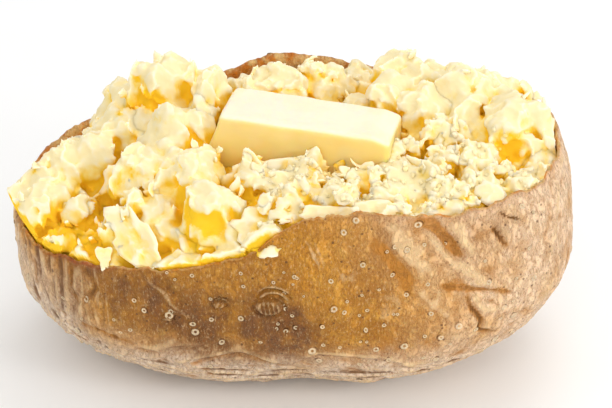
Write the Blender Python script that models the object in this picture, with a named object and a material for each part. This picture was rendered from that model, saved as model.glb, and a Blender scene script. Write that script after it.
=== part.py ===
"""Baked potato, cut open along the top, its flesh forked up into a heap with a slab of butter.

Three pieces stand together, at real size in metres, with +Z up and +X along the potato:

  skin    the jacket, a thin shell from a small flat spot up to the torn edge of the cut
  flesh   the soft inside, which fills the jacket and is heaped in lumps above the edge
  butter  a slab of butter bedded in the top of the heap

The origin is on the ground, under the middle of the potato's outline.
Angles run anticlockwise round +Z from +X, the blunt end, so the low front edge is near 270.
"""

import math

import bmesh
import bpy
from mathutils import Matrix, Vector, noise

# The potato's widest outline, which is a superellipse with its own reach at each side.
REACH_BLUNT_END = 0.0615
REACH_NARROW_END = 0.0620
REACH_BACK = 0.0385
# These pairs are for the narrow end and the blunt end.
REACH_FRONT = (0.0335, 0.0400)
OUTLINE_POWER = (2.25, 2.45)
WIDEST_HEIGHT = (0.0290, 0.0320)

# The way up the side: an oval foot, the widest line, and the dome that the cut took away.
# SIDE_POWER is a pair for the narrow end and the blunt end too.
FOOT_SHARE = 0.26
SIDE_POWER = (2.65, 2.20)
DOME_OVER_ENDS = 0.0330
DOME_OVER_SIDES = 0.0200

# Height of the torn edge round the potato: (angle in degrees, height).
TORN_EDGE = (
    (0, 0.0540),
    (35, 0.0510),
    (70, 0.0540),
    (100, 0.0565),
    (125, 0.0520),
    (155, 0.0430),
    (185, 0.0380),
    (210, 0.0365),
    (235, 0.0385),
    (255, 0.0430),
    (270, 0.0500),
    (290, 0.0525),
    (315, 0.0515),
    (340, 0.0525),
)
TORN_RAGGED = 0.0006
RAGS_ROUND_THE_EDGE = 9

SKIN_THICK = 0.0016
GAP = 0.0004

# Broad hollows and swellings of the baked skin, and the creases where it has sunk:
# (angle, height, slant in degrees from upright, length, width, depth).
SWELL_SIZE = 0.0210
SWELL_DEPTH = 0.0011
# Share of the way up to the widest line that they take to reach full depth, from none at the foot.
FOOT_CALM = 0.35
CREASES = (
    (312, 0.0400, 38, 0.024, 0.0056, 0.0015),
    (326, 0.0370, 34, 0.024, 0.0056, 0.0014),
    (300, 0.0300, 42, 0.020, 0.0048, 0.0012),
    (334, 0.0200, 80, 0.026, 0.0050, 0.0014),
    (262, 0.0100, 76, 0.034, 0.0055, 0.0009),
    (243, 0.0270, -28, 0.018, 0.0045, 0.0010),
    (196, 0.0240, 0, 0.022, 0.0042, 0.0010),
    (60, 0.0300, 30, 0.026, 0.0050, 0.0013),
    (120, 0.0220, -40, 0.026, 0.0050, 0.0013),
)

# The heap of flesh. It meets the jacket's inside one ring below the torn edge.
HEAP_MIDDLE = 0.0480
EDGE_RISE_FRONT = 0.0010
EDGE_RISE_BACK = -0.0050
# The back begins between these two sines of the angle round the potato.
BEHIND = (-0.1, 0.6)
HEAP_CLEAR = 0.0012
# Share of the way in over which the ground climbs from the edge to the heap's middle.
HEAP_SHOULDER = 0.7
# The biggest lumps: (along, across, radius, height of the top).
LUMPS = (
    (-0.0480, -0.0050, 0.0130, 0.0460),
    (-0.0380, 0.0080, 0.0110, 0.0530),
    (-0.0340, -0.0180, 0.0110, 0.0450),
    (-0.0300, 0.0150, 0.0120, 0.0610),
    (-0.0240, 0.0060, 0.0110, 0.0600),
    (-0.0230, -0.0090, 0.0110, 0.0540),
    (-0.0130, -0.0230, 0.0110, 0.0500),
    (-0.0060, 0.0160, 0.0090, 0.0560),
    (0.0010, -0.0180, 0.0120, 0.0530),
    (0.0120, 0.0230, 0.0090, 0.0570),
    (0.0200, -0.0180, 0.0110, 0.0540),
    (0.0270, 0.0140, 0.0130, 0.0630),
    (0.0400, 0.0100, 0.0130, 0.0620),
    (0.0340, -0.0110, 0.0110, 0.0560),
    (0.0490, 0.0010, 0.0110, 0.0600),
)
# Smaller lumps fill in between them on a spiral.
SMALL_LUMPS = 46
SMALL_LUMP_RADIUS = (0.0045, 0.0075)
SMALL_LUMP_RISE = (0.0010, 0.0045)
# They spread over this oval, and the ground under them tips up towards the blunt end and back.
SMALL_SPREAD = (0.0420, 0.0252)
TIP_ALONG = 0.08
TIP_ACROSS = 0.14
# How steeply a lump falls away, and the size of the soft joins between lumps.
LUMP_STEEP = 0.75
MELD = 0.0010

# The slab of butter, which lies along its own X, with its narrow end's foot flowed out.
BUTTER_LENGTH = 0.0375
BUTTER_DEPTH = 0.0148
BUTTER_HEIGHT = 0.0125
BUTTER_FLOW = 0.0042
BUTTER_ROUND = 0.0016
BUTTER_PLACE = (0.0030, -0.0030, 0.0475)
BUTTER_TURN = -13.0
BUTTER_LEAN = 2.5

GOLDEN_TURN = math.radians(137.508)

# Facets.
SPOKES = 80
RINGS_TO_WIDEST = 11
RINGS_TO_EDGE = 8
HEAP_RINGS = 11


def smooth_step(value, low, high):
    """0 below low, 1 above high, and a smooth rise between them."""
    share = min(1.0, max(0.0, (value - low) / (high - low)))
    return share * share * (3 - 2 * share)


def edge_height(degrees):
    """Height of the torn edge at an angle, on a smooth closed curve through TORN_EDGE."""
    angle = degrees % 360
    count = len(TORN_EDGE)
    after = next((i for i, (knot, _) in enumerate(TORN_EDGE) if knot > angle), count)
    start = TORN_EDGE[after - 1][0]
    end = TORN_EDGE[after % count][0] + (360 if after == count else 0)
    t = (angle - start) / (end - start)
    before, here, there, beyond = (
        TORN_EDGE[(after + step) % count][1] for step in (-2, -1, 0, 1)
    )
    return here + 0.5 * t * (
        there - before
        + t * (2 * before - 5 * here + 4 * there - beyond
               + t * (3 * (here - there) + beyond - before))
    )


def along(angle, pair):
    """A size at an angle, from its pair for the narrow end and the blunt end."""
    blunt = 0.5 + 0.5 * math.cos(angle)
    return pair[0] + blunt * (pair[1] - pair[0])


def widest_reach(angle):
    """Distance from the upright axis to the widest outline, at an angle in radians."""
    end = REACH_BLUNT_END if math.cos(angle) > 0 else REACH_NARROW_END
    side = REACH_BACK if math.sin(angle) > 0 else along(angle, REACH_FRONT)
    power = along(angle, OUTLINE_POWER)
    total = abs(math.cos(angle) / end) ** power + abs(math.sin(angle) / side) ** power
    return total ** (-1 / power)


def crease_depth(angle, height):
    """How far the creases sink the skin at a place on its side."""
    depth = 0.0
    for crease_angle, crease_height, slant, length, width, deep in CREASES:
        turn = (math.degrees(angle) - crease_angle + 180) % 360 - 180
        around = math.radians(turn) * widest_reach(angle)
        up = height - crease_height
        lean = math.radians(slant)
        down_it = up * math.cos(lean) - around * math.sin(lean)
        off = around * math.cos(lean) + up * math.sin(lean)
        depth += deep * math.exp(-((off / width) ** 2) - (2 * down_it / length) ** 4)
    return depth


def side_point(angle, climb):
    """A point on the skin's outside.

    climb is 0 on the foot's outline, 1 on the widest line and 2 at the torn edge.
    """
    reach = widest_reach(angle)
    widest = along(angle, WIDEST_HEIGHT)
    shape = 2 / along(angle, SIDE_POWER)
    foot_turn = math.asin(FOOT_SHARE ** (1 / shape))
    sunk = widest * (1 - math.cos(foot_turn) ** shape)
    if climb <= 1:
        turn = foot_turn + climb * (math.pi / 2 - foot_turn)
        radius = reach * math.sin(turn) ** shape
        height = widest * (1 - max(0.0, math.cos(turn)) ** shape) - sunk
    else:
        edge = edge_height(math.degrees(angle))
        rags = RAGS_ROUND_THE_EDGE * Vector((math.cos(angle), math.sin(angle), 0.0))
        edge += TORN_RAGGED * noise.noise(rags)
        over = DOME_OVER_SIDES + math.cos(angle) ** 2 * (DOME_OVER_ENDS - DOME_OVER_SIDES)
        dome = edge + over - widest
        last_turn = math.asin(((edge - widest + sunk) / dome) ** (1 / shape))
        turn = (climb - 1) * last_turn
        radius = reach * math.cos(turn) ** shape
        height = widest - sunk + dome * math.sin(turn) ** shape
    point = Vector((radius * math.cos(angle), radius * math.sin(angle), height))
    if climb == 0:
        return Vector((point.x, point.y, 0.0))
    out = Vector((point.x / reach, point.y / reach, (height - widest) / widest))
    swell = SWELL_DEPTH * noise.noise(point / SWELL_SIZE)
    fade = smooth_step(climb, 0.0, FOOT_CALM)
    return point + out.normalized() * fade * (swell - crease_depth(angle, height))


def side_rings():
    """The skin's outside as rings of points, from the foot's outline to the torn edge."""
    climbs = [i / RINGS_TO_WIDEST for i in range(RINGS_TO_WIDEST)]
    climbs += [1 + i / RINGS_TO_EDGE for i in range(RINGS_TO_EDGE + 1)]
    turns = [2 * math.pi * i / SPOKES for i in range(SPOKES)]
    return [[side_point(turn, climb) for turn in turns] for climb in climbs]


def moved_in(rings, distance):
    """The same rings, each point moved into the potato at right angles to the skin."""
    last = len(rings) - 1
    moved = []
    for level, ring in enumerate(rings):
        below, above = rings[max(0, level - 1)], rings[min(last, level + 1)]
        inner = []
        for spoke, point in enumerate(ring):
            around = ring[(spoke + 1) % SPOKES] - ring[spoke - 1]
            upward = above[spoke] - below[spoke]
            inner.append(point - around.cross(upward).normalized() * distance)
        moved.append(inner)
    return moved


def inner_rings(rings, distance):
    """Every second ring of the inner wall, from one below the torn edge down to the floor."""
    wall = moved_in(rings, distance)
    return [wall[level] for level in range(len(rings) - 2, 0, -2)] + [wall[0]]


def lofted(name, rings, last_point=None):
    """A closed mesh from rings, the first one capped flat and the last one drawn to a point."""
    shape = bmesh.new()
    made = [[shape.verts.new(point) for point in ring] for ring in rings]
    for lower, upper in zip(made, made[1:]):
        for spoke in range(SPOKES):
            nxt = (spoke + 1) % SPOKES
            shape.faces.new((lower[spoke], lower[nxt], upper[nxt], upper[spoke]))
    shape.faces.new(made[0][::-1])
    if last_point is not None:
        tip = shape.verts.new(last_point)
        for spoke in range(SPOKES):
            shape.faces.new((made[-1][spoke], made[-1][(spoke + 1) % SPOKES], tip))
    bmesh.ops.recalc_face_normals(shape, faces=shape.faces)
    mesh = bpy.data.meshes.new(name)
    shape.to_mesh(mesh)
    shape.free()
    mesh.shade_smooth()
    mesh.set_sharp_from_angle(angle=math.radians(50))
    return mesh


def middle_of(points):
    """The mean of some points."""
    return sum(points, Vector()) / len(points)


def skin_mesh(rings):
    """The jacket: up its outside, over the torn edge and down its inside to a closed floor."""
    lip = moved_in(rings, SKIN_THICK)[-1]
    inside = inner_rings(rings, SKIN_THICK)
    return lofted("skin", rings + [lip] + inside, middle_of(inside[-1]))


def uneven(step, pace, pair):
    """A size between the two of a pair, which differs from step to step."""
    return pair[0] + (0.5 + 0.5 * math.sin(pace * step)) * (pair[1] - pair[0])


def lump_spots():
    """Every lump of the heap: the big ones, then small ones on a spiral over the opening."""
    spots = list(LUMPS)
    for step in range(SMALL_LUMPS):
        out = math.sqrt((step + 0.5) / SMALL_LUMPS)
        turn = step * GOLDEN_TURN
        x = out * SMALL_SPREAD[0] * math.cos(turn)
        y = out * SMALL_SPREAD[1] * math.sin(turn)
        radius = uneven(step, 2.3, SMALL_LUMP_RADIUS)
        top = HEAP_MIDDLE + TIP_ALONG * x + TIP_ACROSS * y + uneven(step, 4.1, SMALL_LUMP_RISE)
        spots.append((x, y, radius, top))
    return spots


def heap_height(x, y, ground, spots):
    """Height of the heap at a place: the ground there, with the lumps melded into it."""
    total = 1.0
    for lump_x, lump_y, radius, top in spots:
        off = math.hypot(x - lump_x, y - lump_y) / radius
        height = top - LUMP_STEEP * radius * off * off
        total += math.exp(min(60.0, (height - ground) / MELD))
    return ground + MELD * math.log(total)


def heap_rings(rings):
    """Rings of the heap's top, from its edge inside the jacket's lip to near its middle."""
    contact = moved_in(rings, SKIN_THICK + GAP)[-2]
    shoulder = moved_in(rings, SKIN_THICK + HEAP_CLEAR)[-1]
    spots = lump_spots()
    made = []
    for step in range(HEAP_RINGS):
        share = 1 - step / HEAP_RINGS
        ring = []
        for spoke, edge in enumerate(shoulder):
            behind = smooth_step(math.sin(2 * math.pi * spoke / SPOKES), *BEHIND)
            rise = EDGE_RISE_FRONT + behind * (EDGE_RISE_BACK - EDGE_RISE_FRONT)
            side = max(edge.z + rise, contact[spoke].z + GAP)
            x, y = edge.x * share, edge.y * share
            if step == 0:
                ring.append(Vector((x, y, side)))
                continue
            ground = side + (HEAP_MIDDLE - side) * smooth_step(1 - share, 0.0, HEAP_SHOULDER)
            ring.append(Vector((x, y, heap_height(x, y, ground, spots))))
        made.append(ring)
    return made


def flesh_mesh(rings):
    """The flesh: from its floor up the jacket's inside, then over the heap to its middle."""
    wall = inner_rings(rings, SKIN_THICK + GAP)[::-1]
    heap = heap_rings(rings)
    return lofted("flesh", wall + heap, middle_of(heap[-1]))


def butter_mesh(name, grow):
    """The slab with its foot at z 0 and grown by some distance on every side."""
    shape = bmesh.new()
    bmesh.ops.create_cube(shape, size=1.0)
    for corner in shape.verts:
        flow = BUTTER_FLOW if corner.co.x < 0 and corner.co.z < 0 else 0.0
        corner.co.x = corner.co.x * (BUTTER_LENGTH + 2 * grow) - flow
        corner.co.y *= BUTTER_DEPTH + 2 * grow
        corner.co.z = (corner.co.z + 0.5) * (BUTTER_HEIGHT + 2 * grow) - grow
    bmesh.ops.bevel(
        shape,
        geom=list(shape.edges),
        offset=BUTTER_ROUND + grow,
        segments=4,
        profile=0.5,
        affect="EDGES",
    )
    mesh = bpy.data.meshes.new(name)
    shape.to_mesh(mesh)
    shape.free()
    mesh.shade_smooth()
    return mesh


def finish(name, colour, roughness, scatter):
    """A Principled material: its colour, its roughness and how much light soaks into it."""
    material = bpy.data.materials.new(name)
    material.use_nodes = True
    shader = material.node_tree.nodes["Principled BSDF"]
    shader.inputs["Base Color"].default_value = (*colour, 1.0)
    shader.inputs["Roughness"].default_value = roughness
    shader.inputs["Metallic"].default_value = 0.0
    shader.inputs["Subsurface Weight"].default_value = scatter
    shader.inputs["Subsurface Scale"].default_value = 0.003
    return material


def add_piece(name, mesh, material, place, rotation=None):
    """A named object for one piece, at its place."""
    piece = bpy.data.objects.new(name, mesh)
    if material:
        mesh.materials.append(material)
    piece.location = place
    if rotation:
        piece.rotation_euler = rotation
    bpy.context.scene.collection.objects.link(piece)
    return piece


def main():
    """Builds the three pieces round an origin under the middle of the skin's outline."""
    for old in list(bpy.data.objects):
        bpy.data.objects.remove(old)
    rings = side_rings()
    outside = [point for ring in rings for point in ring]
    middle = Vector([
        -(min(p[axis] for p in outside) + max(p[axis] for p in outside)) / 2 for axis in (0, 1)
    ] + [0.0])
    add_piece("skin", skin_mesh(rings), finish("baked_skin", (0.51, 0.27, 0.08), 0.5, 0.1), middle)
    flesh = add_piece(
        "flesh", flesh_mesh(rings), finish("potato_flesh", (0.94, 0.80, 0.42), 0.6, 0.6), middle
    )

    place = middle + Vector(BUTTER_PLACE)
    turned = Matrix.Rotation(math.radians(BUTTER_TURN), 3, "Z")
    turned = turned @ Matrix.Rotation(math.radians(BUTTER_LEAN), 3, "Y")
    rotation = turned.to_euler()
    add_piece(
        "butter",
        butter_mesh("butter", 0.0),
        finish("soft_butter", (0.98, 0.82, 0.42), 0.35, 0.7),
        place,
        rotation,
    )
    seat = add_piece("butter_seat", butter_mesh("butter_seat", GAP), None, place, rotation)
    seat.hide_render = True
    seat.display_type = "WIRE"
    cut = flesh.modifiers.new("butter_seat", "BOOLEAN")
    cut.operation = "DIFFERENCE"
    cut.solver = "EXACT"
    cut.object = seat


main()
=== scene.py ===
"""The looks of a baked potato: its jacket, its forked-up flesh and its slab of butter.

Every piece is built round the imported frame, in metres, with +Z up and +X along the potato.
"""

import logging
import math
from dataclasses import dataclass, field
from enum import Enum
from typing import Any, Optional

import bmesh
import bpy
import numpy as np
from bpy.types import Material, Mesh, Node, NodeSocket, NodeTree, Object
from mathutils import Euler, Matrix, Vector
from mathutils.bvhtree import BVHTree


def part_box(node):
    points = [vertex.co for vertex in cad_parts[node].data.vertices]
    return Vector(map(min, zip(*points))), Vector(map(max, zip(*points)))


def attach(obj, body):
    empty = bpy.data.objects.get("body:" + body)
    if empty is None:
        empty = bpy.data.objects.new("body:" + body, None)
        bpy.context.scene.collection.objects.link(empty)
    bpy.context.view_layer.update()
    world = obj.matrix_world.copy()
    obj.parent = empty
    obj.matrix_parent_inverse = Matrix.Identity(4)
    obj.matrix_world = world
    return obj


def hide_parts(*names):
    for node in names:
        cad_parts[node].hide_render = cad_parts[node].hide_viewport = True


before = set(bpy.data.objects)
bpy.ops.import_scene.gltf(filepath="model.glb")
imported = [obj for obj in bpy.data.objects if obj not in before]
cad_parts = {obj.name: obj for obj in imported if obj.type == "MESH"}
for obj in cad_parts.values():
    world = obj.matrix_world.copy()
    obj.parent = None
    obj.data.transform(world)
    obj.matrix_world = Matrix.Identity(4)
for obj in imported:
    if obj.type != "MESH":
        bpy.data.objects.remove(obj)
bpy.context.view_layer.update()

LOG = logging.getLogger("baked_potato")
MM = 0.001
MERGE = 0.001 * MM
FULL_TURN = 2 * math.pi
Array = np.ndarray
Triple = tuple[float, float, float]
Inputs = dict[Any, Any]


# ---- small tools


def colour(code: str) -> tuple[float, float, float, float]:
    """Turns an sRGB hex code into the linear colour that shaders take.

    Args:
        code: Six hex digits after a hash sign.

    Returns:
        Linear red, green and blue, and an alpha of 1.
    """
    parts = [int(code[at:at + 2], 16) / 255 for at in (1, 3, 5)]
    low = [part / 12.92 if part <= 0.04045 else ((part + 0.055) / 1.055) ** 2.4 for part in parts]
    return (low[0], low[1], low[2], 1.0)


def per_mm(size: float) -> float:
    """The texture scale at which one cell of a pattern measures size millimetres."""
    return 1 / (size * MM)


def feed(node: Node, inputs: Inputs) -> None:
    """Sets a node's inputs.

    Args:
        node: The node.
        inputs: Input name or number to a value, a hex colour or the socket that feeds it.
    """
    for key, value in inputs.items():
        if isinstance(value, NodeSocket):
            node.id_data.links.new(value, node.inputs[key])
        elif isinstance(value, str) and value.startswith("#"):
            node.inputs[key].default_value = colour(value)
        else:
            node.inputs[key].default_value = value


def add_node(tree: NodeTree, kind: str, inputs: Optional[Inputs] = None, **settings: Any) -> Node:
    """Adds a node with its settings, its input values and its links.

    Args:
        tree: The tree that gets the node.
        kind: The node's type name.
        inputs: Input name or number to a value, or to the socket that feeds it.
        settings: The node's own properties.

    Returns:
        The new node.
    """
    made = tree.nodes.new(kind)
    for name, value in settings.items():
        setattr(made, name, value)
    feed(made, inputs or {})
    return made


@dataclass(frozen=True)
class Kind:
    """A kind of node: its type, the inputs that take its values in turn, and its output.

    A setting that is None takes the first value.
    """

    type: str
    inputs: tuple[Any, ...] = ()
    output: Any = 0
    settings: tuple[tuple[str, Optional[str]], ...] = ()


READ = Kind("ShaderNodeAttribute", (), "Fac", (("attribute_name", None),))
SPAN = Kind("ShaderNodeMapRange", ("Value", "From Min", "From Max", "To Min", "To Max"), 0,
            (("interpolation_type", "SMOOTHSTEP"),))
MIX = Kind("ShaderNodeMix", (0, 6, 7), 2, (("data_type", "RGBA"),))
MATH = Kind("ShaderNodeMath", (0, 1, 2), 0, (("operation", None),))
VECTOR = Kind("ShaderNodeVectorMath", (0, 1, 2), 0, (("operation", None),))
MEASURE = Kind("ShaderNodeVectorMath", (0, 1, 2), 1, (("operation", None),))
BUMP = Kind("ShaderNodeBump", ("Height", "Distance", "Normal"))
NOISE = Kind("ShaderNodeTexNoise", ("Vector", "Scale", "Detail", "Roughness"), "Fac")
DRIFT = Kind("ShaderNodeTexNoise", ("Vector", "Scale", "Detail", "Roughness"), "Color")
CELL = Kind("ShaderNodeTexVoronoi", ("Vector", "Scale"), "Color", (("feature", "F1"),))
CELL_EDGE = Kind("ShaderNodeTexVoronoi", ("Vector", "Scale"), "Distance",
                 (("feature", "DISTANCE_TO_EDGE"),))


class Wiring:
    """A node tree that is put together from kinds of node."""

    tree: NodeTree

    def add(self, kind: Kind, *values: Any) -> NodeSocket:
        """Adds a node of a kind.

        Args:
            kind: What it is.
            values: For its open setting and its inputs in turn.

        Returns:
            The kind's output.
        """
        rest = list(values)
        settings = {name: rest.pop(0) if value is None else value
                    for name, value in kind.settings}
        made = add_node(self.tree, kind.type, dict(zip(kind.inputs, rest)), **settings)
        return made.outputs[kind.output]


def smooth_step(value: Array, low: float, high: float) -> Array:
    """0 below low, 1 above high and a smooth rise between them; negate value for a fall."""
    share = np.clip((value - low) / (high - low), 0.0, 1.0)
    return share * share * (3 - 2 * share)


def normalised(vectors: Array) -> Array:
    """The same vectors at length 1."""
    return vectors / np.maximum(np.linalg.norm(vectors, axis=-1, keepdims=True), 1e-12)


class Noise:
    """Smooth gradient noise of three dimensions, the same on every run."""

    def __init__(self, seed: int) -> None:
        """Shuffles the lattice.

        Args:
            seed: Picks one of many different patterns.
        """
        draw = np.random.default_rng(seed)
        self.order = np.tile(draw.permutation(256), 2)
        self.slopes = normalised(draw.normal(size=(256, 3)))

    def __call__(self, points: Array, size: float) -> Array:
        """Reads the noise.

        Args:
            points: Places, with three numbers in the last axis.
            size: The size of one lump of the pattern, in the points' unit.

        Returns:
            A value from about -1 to 1 at each place.
        """
        at = np.asarray(points, float) / size
        cell = np.floor(at).astype(np.int64)
        part = at - cell
        cell &= 255
        ease = part ** 3 * (part * (part * 6 - 15) + 10)
        total = np.zeros(at.shape[:-1])
        for corner in range(8):
            step = np.array([corner & 1, corner >> 1 & 1, corner >> 2 & 1])
            near = (cell + step) & 255
            key = self.order[self.order[self.order[near[..., 0]] + near[..., 1]] + near[..., 2]]
            value = (self.slopes[key] * (part - step)).sum(-1)
            weight = np.where(step == 1, ease, 1 - ease).prod(-1)
            total += weight * value
        return 1.6 * total

    def layered(self, points: Array, size: float, layers: int = 3) -> Array:
        """Noise with finer noise on it, each layer half the size and half the height."""
        parts = [0.5 ** n * self(points + 17.3 * n * size, size * 0.5 ** n) for n in range(layers)]
        return sum(parts)


def mesh_from(name: str, points: Array, faces: list[Any]) -> Mesh:
    """Makes a smooth-shaded mesh.

    Args:
        name: The mesh's name.
        points: Its points, in metres.
        faces: For each face, the numbers of its points, round it.

    Returns:
        The mesh.
    """
    mesh = bpy.data.meshes.new(name)
    mesh.from_pydata(np.asarray(points, float).tolist(), [], faces)
    mesh.update()
    mesh.shade_smooth()
    return mesh


def bands(rings: int, spokes: int) -> list[tuple[int, ...]]:
    """Lists the four-sided faces between closed rings of points.

    Args:
        rings: How many rings there are.
        spokes: How many points each ring has.

    Returns:
        For each face, the numbers of its points, which are counted ring by ring.
    """
    faces = []
    for one in range(0, (rings - 1) * spokes, spokes):
        two = one + spokes
        for at in range(spokes):
            nxt = (at + 1) % spokes
            faces.append((one + at, one + nxt, two + nxt, two + at))
    return faces


def vectors_of(items: Any, name: str) -> Array:
    """Reads a vector of each item of a collection.

    Args:
        items: A mesh's collection.
        name: The items' property.

    Returns:
        One row of three numbers for each item.
    """
    vectors = np.empty(len(items) * 3)
    items.foreach_get(name, vectors)
    return vectors.reshape(-1, 3)


def points_of(mesh: Mesh) -> Array:
    """A mesh's points, one row each, in metres."""
    return vectors_of(mesh.vertices, "co")


def normals_of(mesh: Mesh) -> Array:
    """A mesh's point normals, one row each."""
    return vectors_of(mesh.vertex_normals, "vector")


def ends_of(mesh: Mesh) -> Array:
    """Reads a mesh's edges.

    Args:
        mesh: Any mesh.

    Returns:
        The numbers of each edge's two points, one row each.
    """
    ends = np.empty(len(mesh.edges) * 2, int)
    mesh.edges.foreach_get("vertices", ends)
    return ends.reshape(-1, 2)


def set_attribute(mesh: Mesh, name: str, values: Array) -> None:
    """Stores a number or a vector for each point, for a material or a node tree to read.

    Args:
        mesh: The mesh that gets the attribute.
        name: The attribute's name.
        values: One number, or one row of three numbers, for each point.
    """
    kind, field_name = ("FLOAT", "value") if values.ndim == 1 else ("FLOAT_VECTOR", "vector")
    layer = mesh.attributes.get(name) or mesh.attributes.new(name, kind, "POINT")
    layer.data.foreach_set(field_name, np.ascontiguousarray(values, np.float32).ravel())


def add_object(name: str, mesh: Mesh) -> Object:
    """Puts a mesh in the scene, at the origin.

    Args:
        name: The object's name.
        mesh: Its mesh.

    Returns:
        The object.
    """
    made = bpy.data.objects.new(name, mesh)
    bpy.context.scene.collection.objects.link(made)
    return made


def hand_over(piece: Object, slot: str, *nodes: str) -> None:
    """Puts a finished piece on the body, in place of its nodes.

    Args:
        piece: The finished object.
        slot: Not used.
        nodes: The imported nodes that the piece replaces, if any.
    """
    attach(piece, "root")
    if nodes:
        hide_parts(*nodes)


def report(piece: Object) -> None:
    """Logs a finished piece's name and how many triangles it has."""
    piece.data.calc_loop_triangles()
    LOG.info("%s: %d triangles", piece.name, len(piece.data.loop_triangles))


def packed_shape(node: str) -> bmesh.types.BMesh:
    """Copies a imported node, with its loose triangles merged.

    Args:
        node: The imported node's name.

    Returns:
        The copy, which its user frees.
    """
    shape = bmesh.new()
    shape.from_mesh(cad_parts[node].data)
    bmesh.ops.remove_doubles(shape, verts=shape.verts, dist=MERGE)
    return shape


def packed_tree(node: str) -> tuple[BVHTree, Array]:
    """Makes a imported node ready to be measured.

    Args:
        node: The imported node's name.

    Returns:
        A search tree of the node, and its points in metres.
    """
    shape = packed_shape(node)
    points = np.array([vert.co for vert in shape.verts])
    tree = BVHTree.FromBMesh(shape)
    shape.free()
    return tree, points


class NodeShape(Wiring):
    """A Geometry Nodes tree with named inputs, which turns an object into a plain mesh."""

    def __init__(self, name: str) -> None:
        """Starts a tree that takes and gives geometry.

        Args:
            name: The tree's name.
        """
        self.tree = bpy.data.node_groups.new(name, "GeometryNodeTree")
        self.add_input("Geometry", "NodeSocketGeometry")
        self.tree.interface.new_socket("Geometry", in_out="OUTPUT",
                                       socket_type="NodeSocketGeometry")
        self.entry = self.tree.nodes.new("NodeGroupInput")

    def add_input(self, name: str, kind: str) -> None:
        """Adds a named input of one socket type."""
        self.tree.interface.new_socket(name, in_out="INPUT", socket_type=kind)

    def given(self, name: str) -> NodeSocket:
        """The socket that brings in a named input."""
        return self.entry.outputs[name]

    def finish(self, geometry: NodeSocket, material: Material) -> None:
        """Ends the tree in realised geometry with its material.

        Args:
            geometry: The socket that gives the geometry.
            material: The finish that it gets.
        """
        real = add_node(self.tree, "GeometryNodeRealizeInstances", {"Geometry": geometry})
        dressed = add_node(self.tree, "GeometryNodeSetMaterial",
                           {"Geometry": real.outputs[0], "Material": material})
        add_node(self.tree, "NodeGroupOutput", {0: dressed.outputs[0]})

    def made_on(self, base: Object, name: str, values: Inputs) -> Mesh:
        """Runs the tree on an object.

        Args:
            base: The object whose mesh the tree works from.
            name: The new mesh's name.
            values: Input name to value.

        Returns:
            The plain mesh that the tree makes.
        """
        modifier = base.modifiers.new(self.tree.name, "NODES")
        modifier.node_group = self.tree
        for item in self.tree.interface.items_tree:
            if item.in_out == "INPUT" and item.name in values:
                modifier[item.identifier] = values[item.name]
        bpy.context.view_layer.update()
        graph = bpy.context.evaluated_depsgraph_get()
        mesh = bpy.data.meshes.new_from_object(base.evaluated_get(graph), depsgraph=graph)
        base.modifiers.remove(modifier)
        mesh.name = name
        mesh.shade_smooth()
        return mesh


# ---- finishes


class Finish(Wiring):
    """A procedural material: a Principled shader with nodes that read the piece."""

    def __init__(self, name: str) -> None:
        """Starts the material with a plain shader and its object coordinates.

        Args:
            name: The material's name.
        """
        self.material = bpy.data.materials.new(name)
        self.material.use_nodes = True
        self.tree = self.material.node_tree
        self.shader = self.tree.nodes["Principled BSDF"]
        self.place = add_node(self.tree, "ShaderNodeTexCoord").outputs["Object"]

    def pattern(self, size: float, detail: float = 3.0, rough: float = 0.5,
                stretch: Triple = (1, 1, 1)) -> NodeSocket:
        """Noise from 0 to 1 whose lumps measure size millimetres."""
        place = add_node(self.tree, "ShaderNodeMapping", {"Vector": self.place, "Scale": stretch})
        return self.add(NOISE, place.outputs[0], per_mm(size), detail, rough)

    def finish(self, values: Inputs) -> Material:
        """Sets the shader's sockets.

        Args:
            values: Input name to a value, or to the socket that feeds it.

        Returns:
            The material.
        """
        feed(self.shader, values)
        return self.material


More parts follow.
